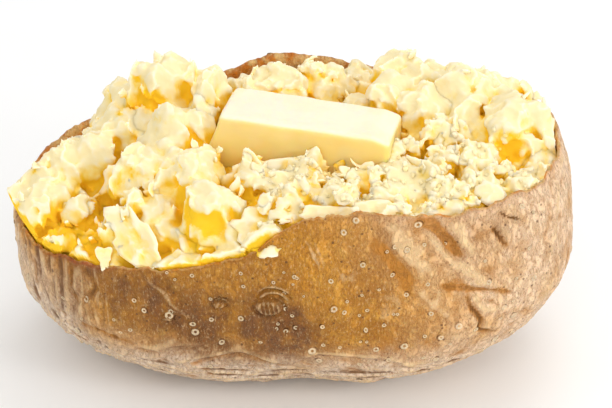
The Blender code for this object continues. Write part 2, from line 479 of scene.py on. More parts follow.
@dataclass(frozen=True)
class BakedSkin:
    """Potato skin dried by the oven: thin cork over flesh, satin, russet-flecked and wrinkled."""

    gold: str = "#cf8d20"
    pale_gold: str = "#dfa63e"
    ochre: str = "#b37618"
    blush: str = "#f4d2ac"
    # Painted light on the right end and the rim's right half.
    ash: str = "#f2dcc2"
    # The pointed end's grey tone, and painted light bounced up from the floor along the bottom.
    rust: str = "#764a20"
    # groove: painted shade in the fine creases and wrinkles.
    groove: str = "#6b4114"
    # Painted shade, amber, down the broad valleys.
    valley_shade: str = "#bd7a20"
    # Painted highlight: on crests of creases and folds, and as pale specks between the fibres.
    ridge: str = "#f4d09c"
    torn: str = "#9c4c22"
    lining: str = "#ffdc98"
    toast: str = "#f2982e"
    cork: str = "#e9d0aa"
    pit: str = "#5a3519"
    fleck: str = "#8a5016"

    def make(self, name: str, ringed: bool = False) -> Material:
        """Builds the material.

        Args:
            name: The material's name.
            ringed: Whether to add the corky ring and dark pit of a lenticel.

        Returns:
            The material.
        """
        skin = Finish(name)
        broad = skin.pattern(13.0, 4, 0.55)
        mottle = skin.pattern(2.6, 4, 0.65)
        base = skin.add(MIX, skin.add(SPAN, broad, 0.35, 0.65), self.ochre, self.gold)
        base = skin.add(MIX, skin.add(SPAN, mottle, 0.45, 0.75, 0, 0.65), base, self.pale_gold)
        # Grey tone at the pointed end, painted floor bounce along the bottom.
        base = skin.add(MIX, skin.add(READ, "ash"), base, self.ash)
        # Painted light: paler peach over the right end and the rim's right half.
        even = skin.add(SPAN, mottle, 0.3, 0.6, 0.82, 1.0)
        blush = skin.add(MATH, "MULTIPLY", skin.add(READ, "blush"), even)
        base = skin.add(MIX, blush, base, self.blush)
        patchy = skin.add(SPAN, mottle, 0.25, 0.6, 0.45, 1.0)
        patchy = skin.add(MATH, "MULTIPLY", skin.add(READ, "rust"), patchy)
        base = skin.add(MIX, patchy, base, self.rust)
        # Net of fine creases, about 1 mm apart, upright where the skin shrank round an end.
        crease = skin.pattern(1.7, 5, 0.62, (1.0, 1.0, 0.55))
        crease = skin.add(MATH, "ABSOLUTE", skin.add(MATH, "SUBTRACT", crease, 0.5))
        crease = skin.add(SPAN, crease, 0.0, 0.10)
        base = skin.add(MIX, skin.add(SPAN, crease, 0.45, 0.0, 0, 0.35), base, self.fleck)
        # Russet fibres, 0.3 mm wide, which is as fine as the surface can show; the pale specks between
        # them are painted highlights.
        fibre = skin.pattern(0.42, 3, 0.7, (1.0, 1.0, 0.5))
        base = skin.add(MIX, skin.add(SPAN, fibre, 0.52, 0.68, 0, 0.6), base, self.fleck)
        base = skin.add(MIX, skin.add(SPAN, fibre, 0.46, 0.32, 0, 0.32), base, self.ridge)
        spot = add_node(skin.tree, "ShaderNodeTexVoronoi", {
            "Vector": skin.place, "Scale": per_mm(2.4)}, feature="F1").outputs[0]
        base = skin.add(MIX, skin.add(SPAN, spot, 0.16, 0.07, 0, 0.75), base, self.pit)
        # Painted shade in amber down the broad valleys, painted highlight along the broad crests.
        trough = skin.add(READ, "trough")
        base = skin.add(MIX, skin.add(SPAN, trough, -0.1, -0.9, 0, 0.85), base, self.valley_shade)
        base = skin.add(MIX, skin.add(SPAN, trough, 0.25, 1.0, 0, 0.65), base, self.ridge)
        # Painted shade in the fine creases and wrinkles, painted highlight on their crests.
        cavity = skin.add(READ, "cavity")
        base = skin.add(MIX, skin.add(SPAN, cavity, -0.2, -1.0, 0, 0.8), base, self.groove)
        base = skin.add(MIX, skin.add(SPAN, cavity, 0.2, 1.0, 0, 0.4), base, self.ridge)
        toasted = skin.add(MIX, skin.add(SPAN, mottle, 0.44, 0.62, 0.1, 1.0), self.lining, self.toast)
        base = skin.add(MIX, skin.add(READ, "lining"), base, toasted)
        ragged = skin.add(SPAN, mottle, 0.35, 0.6, 0.3, 1.0)
        ragged = skin.add(MATH, "MULTIPLY", skin.add(READ, "torn"), ragged)
        base = skin.add(MIX, ragged, base, self.torn)
        if ringed:
            ring = skin.add(READ, "ring")
            base = skin.add(MIX, skin.add(SPAN, ring, 0.25, 0.8, 0, 0.9), base, self.cork)
            base = skin.add(MIX, skin.add(SPAN, ring, 0.2, 0.0, 0, 0.85), base, self.pit)
        grain = skin.add(BUMP, fibre, 0.16 * MM)
        pores = skin.add(BUMP, crease, 0.2 * MM, grain)
        rough = skin.add(SPAN, mottle, 0.3, 0.7, 0.62, 0.44)
        return skin.finish({
            "Base Color": base, "Roughness": rough, "Normal": pores, "IOR": 1.45,
            "Subsurface Weight": 0.12, "Subsurface Radius": (1.0, 0.5, 0.2),
            "Subsurface Scale": 0.9 * MM, "Specular IOR Level": 0.42})


@dataclass(frozen=True)
class ForkedFlesh:
    """Floury potato flesh, forked up hot: painted white highlights on crests, painted gold shade in
    hollows.
    """

    cream: str = "#f1e1b0"
    # Painted highlight on the crests.
    white: str = "#eee5c9"
    # Painted shade: gold in the hollows, deeper gold in the deepest.
    shade_gold: str = "#f6dc84"
    deep_gold: str = "#f4c62e"

    def make(self, name: str, glow: float = 1.0) -> Material:
        """Builds the material.

        Args:
            name: The material's name.
            glow: How much of the light comes back from under the surface.

        Returns:
            The material.
        """
        flesh = Finish(name)
        drift = flesh.pattern(5.0, 3, 0.5)
        hollow = flesh.add(SPAN, drift, 0.3, 0.7, -0.12, 0.12)
        hollow = flesh.add(MATH, "ADD", flesh.add(READ, "hollow"), hollow)
        # Painted highlight: white on the crests.
        crest = flesh.add(SPAN, flesh.add(READ, "crest"), 0.0, 0.9, 0.0, 0.85)
        hollow = flesh.add(MATH, "SUBTRACT", hollow, flesh.add(MATH, "MULTIPLY", crest, 0.08))
        base = flesh.add(MIX, crest, self.cream, self.white)
        # Painted shade: gold in the hollows, deeper gold in the deepest.
        base = flesh.add(MIX, flesh.add(SPAN, hollow, 0.38, 0.66), base, self.shade_gold)
        base = flesh.add(MIX, flesh.add(SPAN, hollow, 0.56, 0.82), base, self.deep_gold)
        # Burst starch grains in clumps of about 0.3 to 0.8 mm: a dry, sugary tooth, no gloss.
        grain = flesh.add(BUMP, flesh.pattern(0.8, 4, 0.7), 0.06 * MM)
        rough = flesh.add(SPAN, drift, 0.3, 0.7, 0.62, 0.8)
        flesh.shader.subsurface_method = "BURLEY"
        return flesh.finish({
            "Base Color": base, "Roughness": rough, "Normal": grain, "IOR": 1.4,
            "Subsurface Weight": glow, "Subsurface Radius": (1.0, 0.9, 0.7),
            "Subsurface Scale": 1.5 * MM, "Specular IOR Level": 0.12})


@dataclass(frozen=True)
class SoftButter:
    """Churned butter just starting to melt: smooth, greasy and glowing, with faint knife lines."""

    pale: str = "#f8ecd2"
    side_shade: str = "#fcdc8c"
    melted: str = "#fbcb55"

    def make(self, name: str) -> Material:
        """Builds the material.

        Args:
            name: The material's name.

        Returns:
            The material.
        """
        butter = Finish(name)
        drift = butter.add(SPAN, butter.pattern(7.0, 2, 0.4), 0.3, 0.7, -0.12, 0.12)
        # cut is painted light and shade: pale on faces that point up, warmer on the sides and
        # underside.
        cut = butter.add(MATH, "ADD", butter.add(READ, "cut"), drift)
        base = butter.add(MIX, cut, self.pale, self.side_shade)
        base = butter.add(MIX, butter.add(READ, "melt"), base, self.melted)
        # Drag lines of the knife, about 1 mm apart, along the slab.
        knife = butter.add(BUMP, butter.pattern(1.1, 2, 0.4, (0.12, 1.0, 1.0)), 0.05 * MM)
        return butter.finish({
            "Base Color": base, "Roughness": 0.34, "Normal": knife, "IOR": 1.46,
            "Subsurface Weight": 1.0, "Subsurface Radius": (1.0, 0.7, 0.3),
            "Subsurface Scale": 2.6 * MM, "Specular IOR Level": 0.45})


# ---- the jacket


class Relief(Enum):
    """What a feature of the skin does to its surface."""

    RIDGE = 1.0
    VALLEY = -1.0


@dataclass(frozen=True)
class Fold:
    """A ridge or a valley of the skin along points of (degrees round, height in mm)."""

    kind: Relief
    path: tuple[tuple[float, float], ...]
    width: float
    size: float
    # colour: painted shade along the fold when above 0, a painted highlight along it when below 0.
    colour: float = 0.0


@dataclass(frozen=True)
class Eye:
    """An eye of the potato: a hollow, its brows above it, a knob and small buds."""

    turn: float
    height: float
    size: float


FOLDS = (
    Fold(Relief.RIDGE, ((300, 52), (303, 46.5), (307, 41.5), (311, 38.5)), 2.3, 0.75),
    Fold(Relief.VALLEY, ((295, 46.5), (300, 42.5), (304, 37), (307, 31.5)), 1.7, 0.65),
    Fold(Relief.VALLEY, ((308, 51.5), (311, 49.5), (313, 46), (315, 43), (316, 40)), 1.4, 0.9),
    Fold(Relief.RIDGE, ((309, 48), (312, 44.5), (315, 41), (319, 37), (322, 34)), 1.5, 0.85),
    Fold(Relief.RIDGE, ((318, 51), (316, 48.5), (318, 45), (321, 40)), 1.5, 0.7),
    Fold(Relief.RIDGE, ((304, 37.5), (309, 31.5), (313, 28)), 1.3, 0.65),
    Fold(Relief.RIDGE, ((309, 36), (312, 31.5)), 1.2, 0.5),
    Fold(Relief.VALLEY, ((308, 36.8), (314, 35.4), (319, 34.2), (324, 32.6), (331, 29.2)),
         0.65, 0.55, 0.1),
    Fold(Relief.VALLEY, ((317, 33.3), (318, 30), (321, 26), (321, 23), (327, 20)), 0.7, 0.9, 0.4),
    Fold(Relief.RIDGE, ((318, 33), (321, 29), (325, 27.4)), 1.1, 0.6),
    Fold(Relief.VALLEY, ((324, 47.4), (325, 44.5), (326.5, 42.4)), 0.6, 1.0, 1.0),
    Fold(Relief.VALLEY, ((326, 50.6), (328, 48.7), (331, 46.9)), 0.45, 0.6, 0.8),
    Fold(Relief.RIDGE, ((274, 47.6), (279, 40.9)), 0.55, 0.4, -0.6),
    Fold(Relief.RIDGE, ((276.5, 47.6), (280, 42.0)), 0.5, 0.3, -0.6),
    Fold(Relief.RIDGE, ((225, 38), (226.5, 35.5), (230.5, 32.8), (232, 30.2), (236, 27.6)),
         0.75, 0.5),
    Fold(Relief.VALLEY, ((227.5, 38), (230, 35.2), (233.5, 33), (235.5, 30), (239, 27.5)),
         1.1, 0.4),
    Fold(Relief.VALLEY, ((208, 35.5), (207, 29.3), (208.5, 25.7), (207, 22)), 0.8, 0.8, 0.4),
    Fold(Relief.VALLEY, ((212.5, 35.7), (213.5, 31), (210.5, 26.5)), 0.8, 0.7, 0.4),
    Fold(Relief.RIDGE, ((214, 17), (222, 17.6), (232, 20), (242, 21), (250, 24.4)), 1.1, 0.65),
    Fold(Relief.RIDGE, ((229, 13.5), (239, 17.6), (251, 20.8), (257, 19.8), (264, 16.6),
                        (271, 16.2)), 1.1, 0.8),
    Fold(Relief.VALLEY, ((232, 12.5), (241, 16), (252, 18.6), (258, 17.2), (266, 14.4)), 0.9, 0.6),
    Fold(Relief.RIDGE, ((268, 16), (273, 18.5), (278, 20.7), (285, 20.4), (294, 19.6), (300, 19),
                        (305, 16.4), (312, 15.8)), 0.9, 0.6),
    Fold(Relief.VALLEY, ((200, 20.5), (206, 20), (213, 19.2), (220, 17.6), (228, 16)), 0.9, 0.5),
    Fold(Relief.RIDGE, ((353, 54), (344, 50.5), (339, 41), (336, 33)), 1.4, 0.4),
    Fold(Relief.RIDGE, ((200, 34), (199, 27), (201, 21)), 0.8, 0.35),
    Fold(Relief.RIDGE, ((204, 34), (203.5, 28), (204, 22)), 0.7, 0.3),
    Fold(Relief.VALLEY, ((196, 33), (195, 26), (197, 20)), 0.7, 0.35),
)
EYES = (Eye(262, 31.6, 1.0), Eye(245.5, 30.9, 0.45), Eye(28, 33, 0.8),
        Eye(97, 22, 0.7), Eye(140, 34, 0.6), Eye(186, 15, 0.6), Eye(231, 26, 0.35))
# Patches of darker skin: (degrees round, height in mm, reach in mm, strength).
RUST = ((266, 29, 6, 0.9), (266, 22, 8, 0.8), (231, 27, 10, 0.8), (214, 33, 8, 0.6),
        (247, 25, 10, 0.8), (326, 46, 3, 0.35), (225, 35, 8, 0.4), (205, 24, 9, 0.3),
        (285, 24, 7, 0.2), (30, 30, 10, 0.6), (95, 20, 12, 0.6), (150, 28, 12, 0.6))


@dataclass
class Jacket:
    """The skin: a closed shell with its wrinkles, folds, eyes and torn rim."""

    columns: int = 520
    rows: int = 168
    inner_rows: int = 12
    samples: int = 120
    sample_rows: int = 64
    centre_height: float = 30 * MM
    front_crowding: float = 0.40
    crowding: float = 0.78
    wall: float = 1.1 * MM
    overhang: float = 60 * MM
    ragged: float = 0.9 * MM
    pointed_dip: float = 0.035
    back_dip: float = 0.12
    own_folds: int = 34
    noise: Noise = field(default_factory=lambda: Noise(11))
    outer: Array = field(init=False)
    normals: Array = field(init=False)
    turns: Array = field(init=False)
    tops: Array = field(init=False)
    fields: dict[str, Array] = field(init=False)

    def sampled(self) -> tuple[Array, Array]:
        """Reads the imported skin's outside.

        Returns:
            Distances from the centre, by turn and by share of the way up, and the rim's
            elevation at each turn.
        """
        tree, points = packed_tree("skin")
        around = np.degrees(np.arctan2(points[:, 1], points[:, 0])) % 360
        centre = Vector((0, 0, self.centre_height))
        out = np.hypot(points[:, 0], points[:, 1])
        spokes = []
        for turn in np.arange(0, 360, 4.5):
            near = np.abs((around - turn + 180) % 360 - 180) < 2.2
            high = near & (points[:, 2] > points[near, 2].max() - 0.7 * MM)
            best = np.flatnonzero(high)[out[high].argmax()]
            spokes.append((around[best], out[best], points[best, 2]))
        spokes = np.array(sorted(spokes))
        wrapped = np.vstack([spokes[-2:] - (360, 0, 0), spokes, spokes[:2] + (360, 0, 0)])
        turns = np.arange(self.samples) * 360 / self.samples
        rim_out = np.interp(turns, wrapped[:, 0], wrapped[:, 1])
        rim_up = np.interp(turns, wrapped[:, 0], wrapped[:, 2])
        top = np.arctan2(rim_up - self.centre_height, rim_out)
        share = np.linspace(0, 1, self.sample_rows)
        reach = np.empty((self.samples, self.sample_rows))
        for row, turn in enumerate(np.radians(turns)):
            for step, part in enumerate(share):
                rise = -math.pi / 2 + part * (top[row] + math.pi / 2) * 0.998
                away = Vector((math.cos(rise) * math.cos(turn), math.cos(rise) * math.sin(turn),
                               math.sin(rise)))
                hit = tree.ray_cast(centre + away * 0.2, -away)[0]
                reach[row, step] = (hit - centre).length
        return reach, top

    @staticmethod
    def resampled(values: Array, at: Array, loop: bool) -> Array:
        """Reads rows of values between the rows, on a smooth curve through them.

        Args:
            values: The rows.
            at: The places to read, counted in rows.
            loop: Whether the last row is followed by the first.

        Returns:
            One row for each place.
        """
        first = np.floor(at).astype(int)
        part = (at - first)[:, None]
        pick = [(first + step) % len(values) if loop else np.clip(first + step, 0, len(values) - 1)
                for step in (-1, 0, 1, 2)]
        a, b, c, d = (values[rows] for rows in pick)
        return b + 0.5 * part * (c - a + part * (2 * a - 5 * b + 4 * c - d
                                                 + part * (3 * (b - c) + d - a)))

    def shape(self) -> None:
        """Makes the smooth outside as a grid of points, rows by turns."""
        reach, top = self.sampled()
        for _ in range(2):
            reach = (np.roll(reach, 1, 0) + 2 * reach + np.roll(reach, -1, 0)) / 4
            inner = (reach[:, :-2] + 2 * reach[:, 1:-1] + reach[:, 2:]) / 4
            reach = np.hstack([reach[:, :1], inner, reach[:, -1:]])
        even = np.arange(self.columns) * FULL_TURN / self.columns
        self.turns = (even - self.front_crowding * np.cos(even)) % FULL_TURN
        self.turns = np.sort(self.turns)
        at = self.turns / FULL_TURN * self.samples
        reach = self.resampled(reach, at, True)
        top = self.resampled(top[:, None], at, True)[:, 0]
        rag = np.stack([np.cos(self.turns), np.sin(self.turns), 0 * self.turns], -1) * 55
        top = top + self.noise.layered(rag, 5.0, 4) * self.ragged / (50 * MM)
        round_by = np.degrees(self.turns)
        top -= self.pointed_dip * np.exp(-((round_by - 190) / 22) ** 2)
        top -= self.back_dip * smooth_step(round_by, 90, 120) * smooth_step(-round_by, -145, -125)
        self.tops = top
        share = np.linspace(0, 1, self.rows) ** self.crowding
        reach = self.resampled(reach.T, share * (self.sample_rows - 1), False)
        rise = -math.pi / 2 + share[:, None] * (top + math.pi / 2)
        flat = reach * np.cos(rise)
        self.outer = np.stack([flat * np.cos(self.turns), flat * np.sin(self.turns),
                               self.centre_height + reach * np.sin(rise)], -1)
        self.outer[..., 2] = np.maximum(self.outer[..., 2], 0)
        self.normals = self.facing(self.outer)

    @staticmethod
    def facing(grid: Array) -> Array:
        """Works out which way a closed grid faces.

        Args:
            grid: Points, in rows from the foot up, each of one turn round.

        Returns:
            The outward normal at each point.
        """
        around = np.roll(grid, -1, 1) - np.roll(grid, 1, 1)
        upward = np.gradient(grid, axis=0)
        out = normalised(np.cross(around, upward))
        out[0] = (0, 0, -1)
        return out

    def spot(self, turn: float, height: float) -> Array:
        """The point of the outside at degrees round and a height in millimetres."""
        return self.outer[self.cell(turn, height)]

    def cell(self, turn: float, height: float) -> tuple[int, int]:
        """Finds a place on the outside.

        Args:
            turn: Degrees round.
            height: Height in mm.

        Returns:
            The nearest point's row and column.
        """
        column = int(np.abs((np.degrees(self.turns) - turn + 180) % 360 - 180).argmin())
        start = self.rows // 5
        return start + int(np.abs(self.outer[start:, column, 2] - height * MM).argmin()), column

    def held_in(self, points: Array) -> Array:
        """Moves points inside the skin, and not far out over its rim.

        Args:
            points: Places in metres.

        Returns:
            The same places, those outside drawn in towards the middle.
        """
        centre = np.array((0, 0, self.centre_height))
        out = points - centre
        far = np.linalg.norm(out, axis=-1)
        turn = np.arctan2(out[:, 1], out[:, 0]) % FULL_TURN
        column = np.searchsorted(self.turns, turn) % self.columns
        rise = np.arcsin(out[:, 2] / far)
        share = (rise + math.pi / 2) / (self.tops[column] + math.pi / 2)
        row = np.clip(share, 0, 1) ** (1 / self.crowding) * (self.rows - 1)
        wall = np.linalg.norm(self.outer[row.astype(int), column] - centre, axis=-1)
        wall = wall - 1.25 * self.wall + self.overhang * np.maximum(share - 1, 0)
        hold = far > wall
        return np.where(hold[:, None], centre + out * (wall / far)[:, None], points)

    def along(self, fold: Fold) -> tuple[Array, Array]:
        """Measures the outside along a fold.

        Args:
            fold: The fold.

        Returns:
            How far each point is from the fold's path, in mm, and its share of the way along it.
        """
        path = [self.spot(turn, height) for turn, height in fold.path]
        lengths = [float(np.linalg.norm(b - a)) for a, b in zip(path, path[1:])]
        nearest = np.full(self.outer.shape[:2], 1e9)
        share = np.zeros(self.outer.shape[:2])
        done = 0.0
        for start, end, length in zip(path, path[1:], lengths):
            line = (end - start) / max(length, 1e-9)
            part = np.clip((self.outer - start) @ line, 0, length)
            off = np.linalg.norm(self.outer - start - part[..., None] * line, axis=-1)
            closer = off < nearest
            nearest = np.where(closer, off, nearest)
            share = np.where(closer, (done + part) / sum(lengths), share)
            done += length
        return nearest / MM, share

    def folds_of_its_own(self) -> list[Fold]:
        """Draws folds for the sides that no named fold covers, slanted at random.

        Returns:
            The folds.
        """
        draw = np.random.default_rng(5)
        found = []
        for _ in range(self.own_folds):
            turn, height = draw.uniform(-15, 190), draw.uniform(10, 48)
            lean, long = draw.uniform(-0.9, 0.9), draw.uniform(10, 26)
            kind = Relief.RIDGE if draw.random() < 0.55 else Relief.VALLEY
            path = tuple(
                (turn + part * long * math.sin(lean) * 1.3 + draw.uniform(-1, 1),
                 height + part * long * math.cos(lean) * 0.8) for part in (-0.5, -0.15, 0.2, 0.5))
            found.append(Fold(kind, path, draw.uniform(0.9, 2.6), draw.uniform(0.25, 0.65)))
        return found

    def eye_relief(self, eye: Eye) -> tuple[Array, Array]:
        """Shapes an eye: a ribbed knob in a hollow, two brows over it and a pit beside it.

        Args:
            eye: The eye.

        Returns:
            Its relief at each point of the outside, in mm, and where it darkens the skin.
        """
        middle = self.spot(eye.turn, eye.height)
        side = np.array([-math.sin(math.radians(eye.turn)), math.cos(math.radians(eye.turn)), 0])
        off = (self.outer - middle) / (eye.size * MM)
        x, z = off @ side, off[..., 2]
        far = np.abs(off @ (middle * (1, 1, 0))) / np.linalg.norm(middle[:2])
        near = far < 25
        hollow = -0.6 * np.exp(-((x - 2.0) / 5.0) ** 2 - ((z + 1.5) / 4.5) ** 2)
        brow = np.abs(np.hypot(x - 1.2, (z - 1.2) * 1.1) - 3.0)
        over = smooth_step(z, 1.6, 3.0)
        arc = 0.5 * np.exp(-(brow / 0.36) ** 2) * over
        brow_2 = np.abs(np.hypot(x - 1.0, (z - 1.6) * 1.1) - 3.9)
        arc += 0.4 * np.exp(-(brow_2 / 0.30) ** 2) * smooth_step(z, 3.2, 4.6)
        groove = -0.6 * np.exp(-((brow - 0.75) / 0.3) ** 2) * over
        oval = np.hypot(x / 2.6, z / 1.7)
        knob = 0.75 * smooth_step(-oval, -1.15, -0.8)
        groove -= 0.55 * np.exp(-((oval - 1.3) / 0.13) ** 2)
        crimp = 0.2 * np.sin(6.5 * x + 1.5 * z) * smooth_step(-oval, -1.1, -0.8)
        pit = -0.7 * np.exp(-((x - 4.0) / 2.4) ** 2 - ((z + 4.2) / 2.6) ** 2)
        dark = np.exp(-((x - 2.6) / 3.4) ** 2 - ((z + 3.0) / 3.4) ** 2)
        total = np.where(near, hollow + arc + groove + knob + crimp + pit, 0)
        return total * math.sqrt(eye.size), np.where(near, dark, 0)

    def wrinkle(self) -> None:
        """Sinks and raises the outside, and notes what the finish needs to know."""
        mm = self.outer / MM
        height = mm[..., 2]
        angle = np.degrees(np.arctan2(mm[..., 1], mm[..., 0])) % 360
        relief = 0.35 * self.noise.layered(mm, 9.0, 3)
        fine = 1 - np.abs(self.noise(mm * (1, 1, 0.45), 2.1))
        relief += 0.20 * (fine ** 3 - 0.4) * (0.5 + self.noise(mm + 40, 12.0))
        relief += 0.10 * self.noise.layered(mm, 1.6, 2)
        left = smooth_step(-mm[..., 0], 25, 55)
        upright = 1 - np.abs(self.noise(mm * (1, 1, 0.16) + 9, 1.9))
        relief += 0.6 * left * (upright ** 2 - 0.5)
        low = smooth_step(-height, -19, -10) * smooth_step(height, 2, 9)
        level = 1 - np.abs(self.noise(mm * (0.3, 0.3, 1) + 23, 2.3))
        relief += 0.8 * low * (level ** 2 - 0.5)
        named_fold_shade = np.zeros_like(relief)
        wander = self.noise(mm, 2.5)
        for fold in (*FOLDS, *self.folds_of_its_own()):
            off, share = self.along(fold)
            off = np.abs(off + 0.45 * fold.width * wander)
            ends = np.clip(np.sin(np.clip(share, 0.02, 0.98) * math.pi), 0, 1) ** 0.6
            swell = np.exp(-(off / fold.width) ** 2) * ends
            skirt = np.exp(-(off / (2.6 * fold.width)) ** 2) * ends
            relief += fold.kind.value * fold.size * (1.4 * swell - 0.4 * skirt)
            named_fold_shade += fold.colour * swell
        rust = np.zeros_like(relief)
        for eye in EYES:
            bulge, dark = self.eye_relief(eye)
            relief += bulge
            rust += 0.8 * eye.size * dark
        for turn, high, reach, strength in RUST:
            off = np.linalg.norm(self.outer - self.spot(turn, high), axis=-1) / MM
            rust += strength * np.exp(-(off / reach) ** 2)
        rust *= np.clip(0.85 + 0.7 * self.noise.layered(mm + 70, 5.0, 3), 0, 1.6)
        steps = np.linspace(0, 1, self.rows)[:, None]
        calm = smooth_step(steps * np.ones_like(relief), 0.16, 0.30)
        self.outer = self.outer + (relief * calm * MM)[..., None] * self.normals
        self.outer[..., 2] = np.maximum(self.outer[..., 2], 0)
        # Painted light for the finish: shade in the fine creases, wrinkle lines and named valleys,
        # highlights on the crests between.
        thin = self.bulging(relief, 1, 0.15) + self.bulging(relief, 2, 0.45)
        broad = self.bulging(relief, 6, 0.42) + self.bulging(relief, 12, 0.8)
        wrinkle_shade_and_highlight = 1.3 * left * (upright ** 2 - 0.5) + 2.0 * low * (level ** 2 - 0.5)
        below = (self.outer[-1, :, 2] - self.outer[..., 2]) / MM
        edge = np.exp(-np.maximum(below, 0) / 0.5)
        front_left = np.exp(-((angle - 209) / 9) ** 2)
        back = smooth_step(mm[..., 1], 0, 20)
        right = smooth_step(mm[..., 0], 16, 52)
        rim_band = np.exp(-np.maximum(below, 0) / 7) * smooth_step(mm[..., 0], 0, 25)
        # Painted light bounced up from the floor along the bottom.
        floor_bounce = smooth_step(-height, -25, -11)
        patch = 0.9 + 0.5 * self.noise.layered(mm + 90, 8.0, 3)
        # Painted light: the right end and the rim's right half paler.
        blush = np.clip(patch * (0.95 * right + 0.5 * rim_band), 0, 0.95)
        ash = np.clip(patch * (0.68 * smooth_step(-mm[..., 0], 38, 54) * smooth_step(
            below, -1, 7) + 0.95 * floor_bounce), 0, 0.95)
        self.fields = {
            "cavity": np.clip(np.clip(1.2 * thin, -0.5, 1) - named_fold_shade + wrinkle_shade_and_highlight, -1, 1),
            "trough": np.clip(1.8 * broad, -1, 1) * (1 - np.clip(rust, 0, 1)),
            "rust": np.clip(rust, 0, 1),
            "blush": blush * (1 - 0.6 * np.clip(rust, 0, 1)),
            "ash": ash,
            "torn": np.clip(edge * (0.2 + 0.75 * front_left + 0.4 * back), 0, 0.9),
            "lining": 0.85 * back * np.exp(-np.maximum(below, 0) / 7),
            "loose": smooth_step(below, 0.5, 2.0) * smooth_step(height, 1.0, 6.0) * (
                1 - 0.6 * smooth_step(-mm[..., 1], 5, 20)),
        }

    @staticmethod
    def bulging(relief: Array, reach: int, scale: float) -> Array:
        """Compares the relief with its surroundings.

        Args:
            relief: Heights in mm, in rows by turns.
            reach: How far off the surroundings are, in cells.
            scale: The difference in mm that counts as a third.

        Returns:
            How far each point stands out: above 0 on a crest, below 0 in a groove.
        """
        broad = relief
        for _ in range(2):
            broad = (np.roll(broad, reach, 1) + broad + np.roll(broad, -reach, 1)) / 3
            padded = np.pad(broad, ((reach, reach), (0, 0)), mode="edge")
            broad = (padded[:-2 * reach] + padded[reach:-reach] + padded[2 * reach:]) / 3
        return (relief - broad) / (3 * scale)

    def piece(self, material: Material) -> Object:
        """Closes the shell over its rim and down its inside.

        Args:
            material: The skin's finish.

        Returns:
            The finished jacket.
        """
        rings = list(self.outer)
        levels = {name: list(values) for name, values in self.fields.items()}
        facing = self.facing(self.outer)
        rim = self.outer[-1]
        inward = -facing[-3] * (1, 1, 0.2)
        lip = rim + 0.5 * self.wall * inward + (0, 0, 0.35 * self.wall)
        picks = np.linspace(self.rows - 2, 2, self.inner_rows).astype(int)
        depth = np.linspace(1.0, 1.6, self.inner_rows)
        inner = [self.outer[row] - deep * self.wall * facing[row]
                 for row, deep in zip(picks, depth)]
        for ring in (lip, *inner):
            rings.append(ring)
            for name in levels:
                levels[name].append(levels[name][self.rows - 1] * 0)
            levels["lining"][-1] = np.full(self.columns, 0.9)
        levels["torn"][self.rows] = levels["torn"][self.rows - 1]
        levels["torn"][self.rows + 1] = 0.6 * levels["torn"][self.rows - 1]
        points = np.concatenate([*rings, [rings[0].mean(0), rings[-1].mean(0)]])
        faces = bands(len(rings), self.columns)
        last = (len(rings) - 1) * self.columns
        foot, floor = len(points) - 2, len(points) - 1
        for at in range(self.columns):
            nxt = (at + 1) % self.columns
            faces.append((nxt, at, foot))
            faces.append((last + at, last + nxt, floor))
        mesh = mesh_from("jacket", points, faces)
        for name, values in levels.items():
            set_attribute(mesh, name, np.concatenate([*values, [values[0][0], values[-1][0]]]))
        mesh.materials.append(material)
        made = add_object("jacket", mesh)
        hand_over(made, "baked_skin", "skin")
        return made


# ---- the flesh


@dataclass(frozen=True)
class Chunk:
    """A broken lump of flesh: its middle and its reaches, in mm, and how it broke.

    crumb runs from 0, a clean smooth break, to 1.5, all granules, and peak narrows its top.
    """

    x: float
    y: float
    z: float
    rx: float
    ry: float
    rz: float
    crumb: float = 1.0
    peak: float = 0.0

    def points(self, ball: Array, draw: np.random.Generator, noise: Noise) -> Array:
        """The lump's surface.

        Args:
            ball: Points of a unit ball.
            draw: Source of the random breaks.
            noise: Source of the unevenness.

        Returns:
            The ball's points, cut by flat breaks, roughened and put in place, in metres.
        """
        cuts = normalised(draw.normal(size=(10, 3)))
        reach = np.full(len(ball), 1.12)
        for cut, deep in zip(cuts, draw.uniform(0.70, 1.0, len(cuts))):
            facing = ball @ cut
            reach = np.where(facing > 0.05, np.minimum(reach, deep / np.maximum(facing, 0.05)),
                             reach)
        reach *= 1 + 0.26 * noise.layered(ball + draw.uniform(0, 90, 3), 1.1, 2)
        shaped = ball * reach[:, None]
        shaped[:, :2] *= 1 - self.peak * np.clip(shaped[:, 2:], 0, 1)
        return (shaped * (self.rx, self.ry, self.rz) + (self.x, self.y, self.z)) * MM


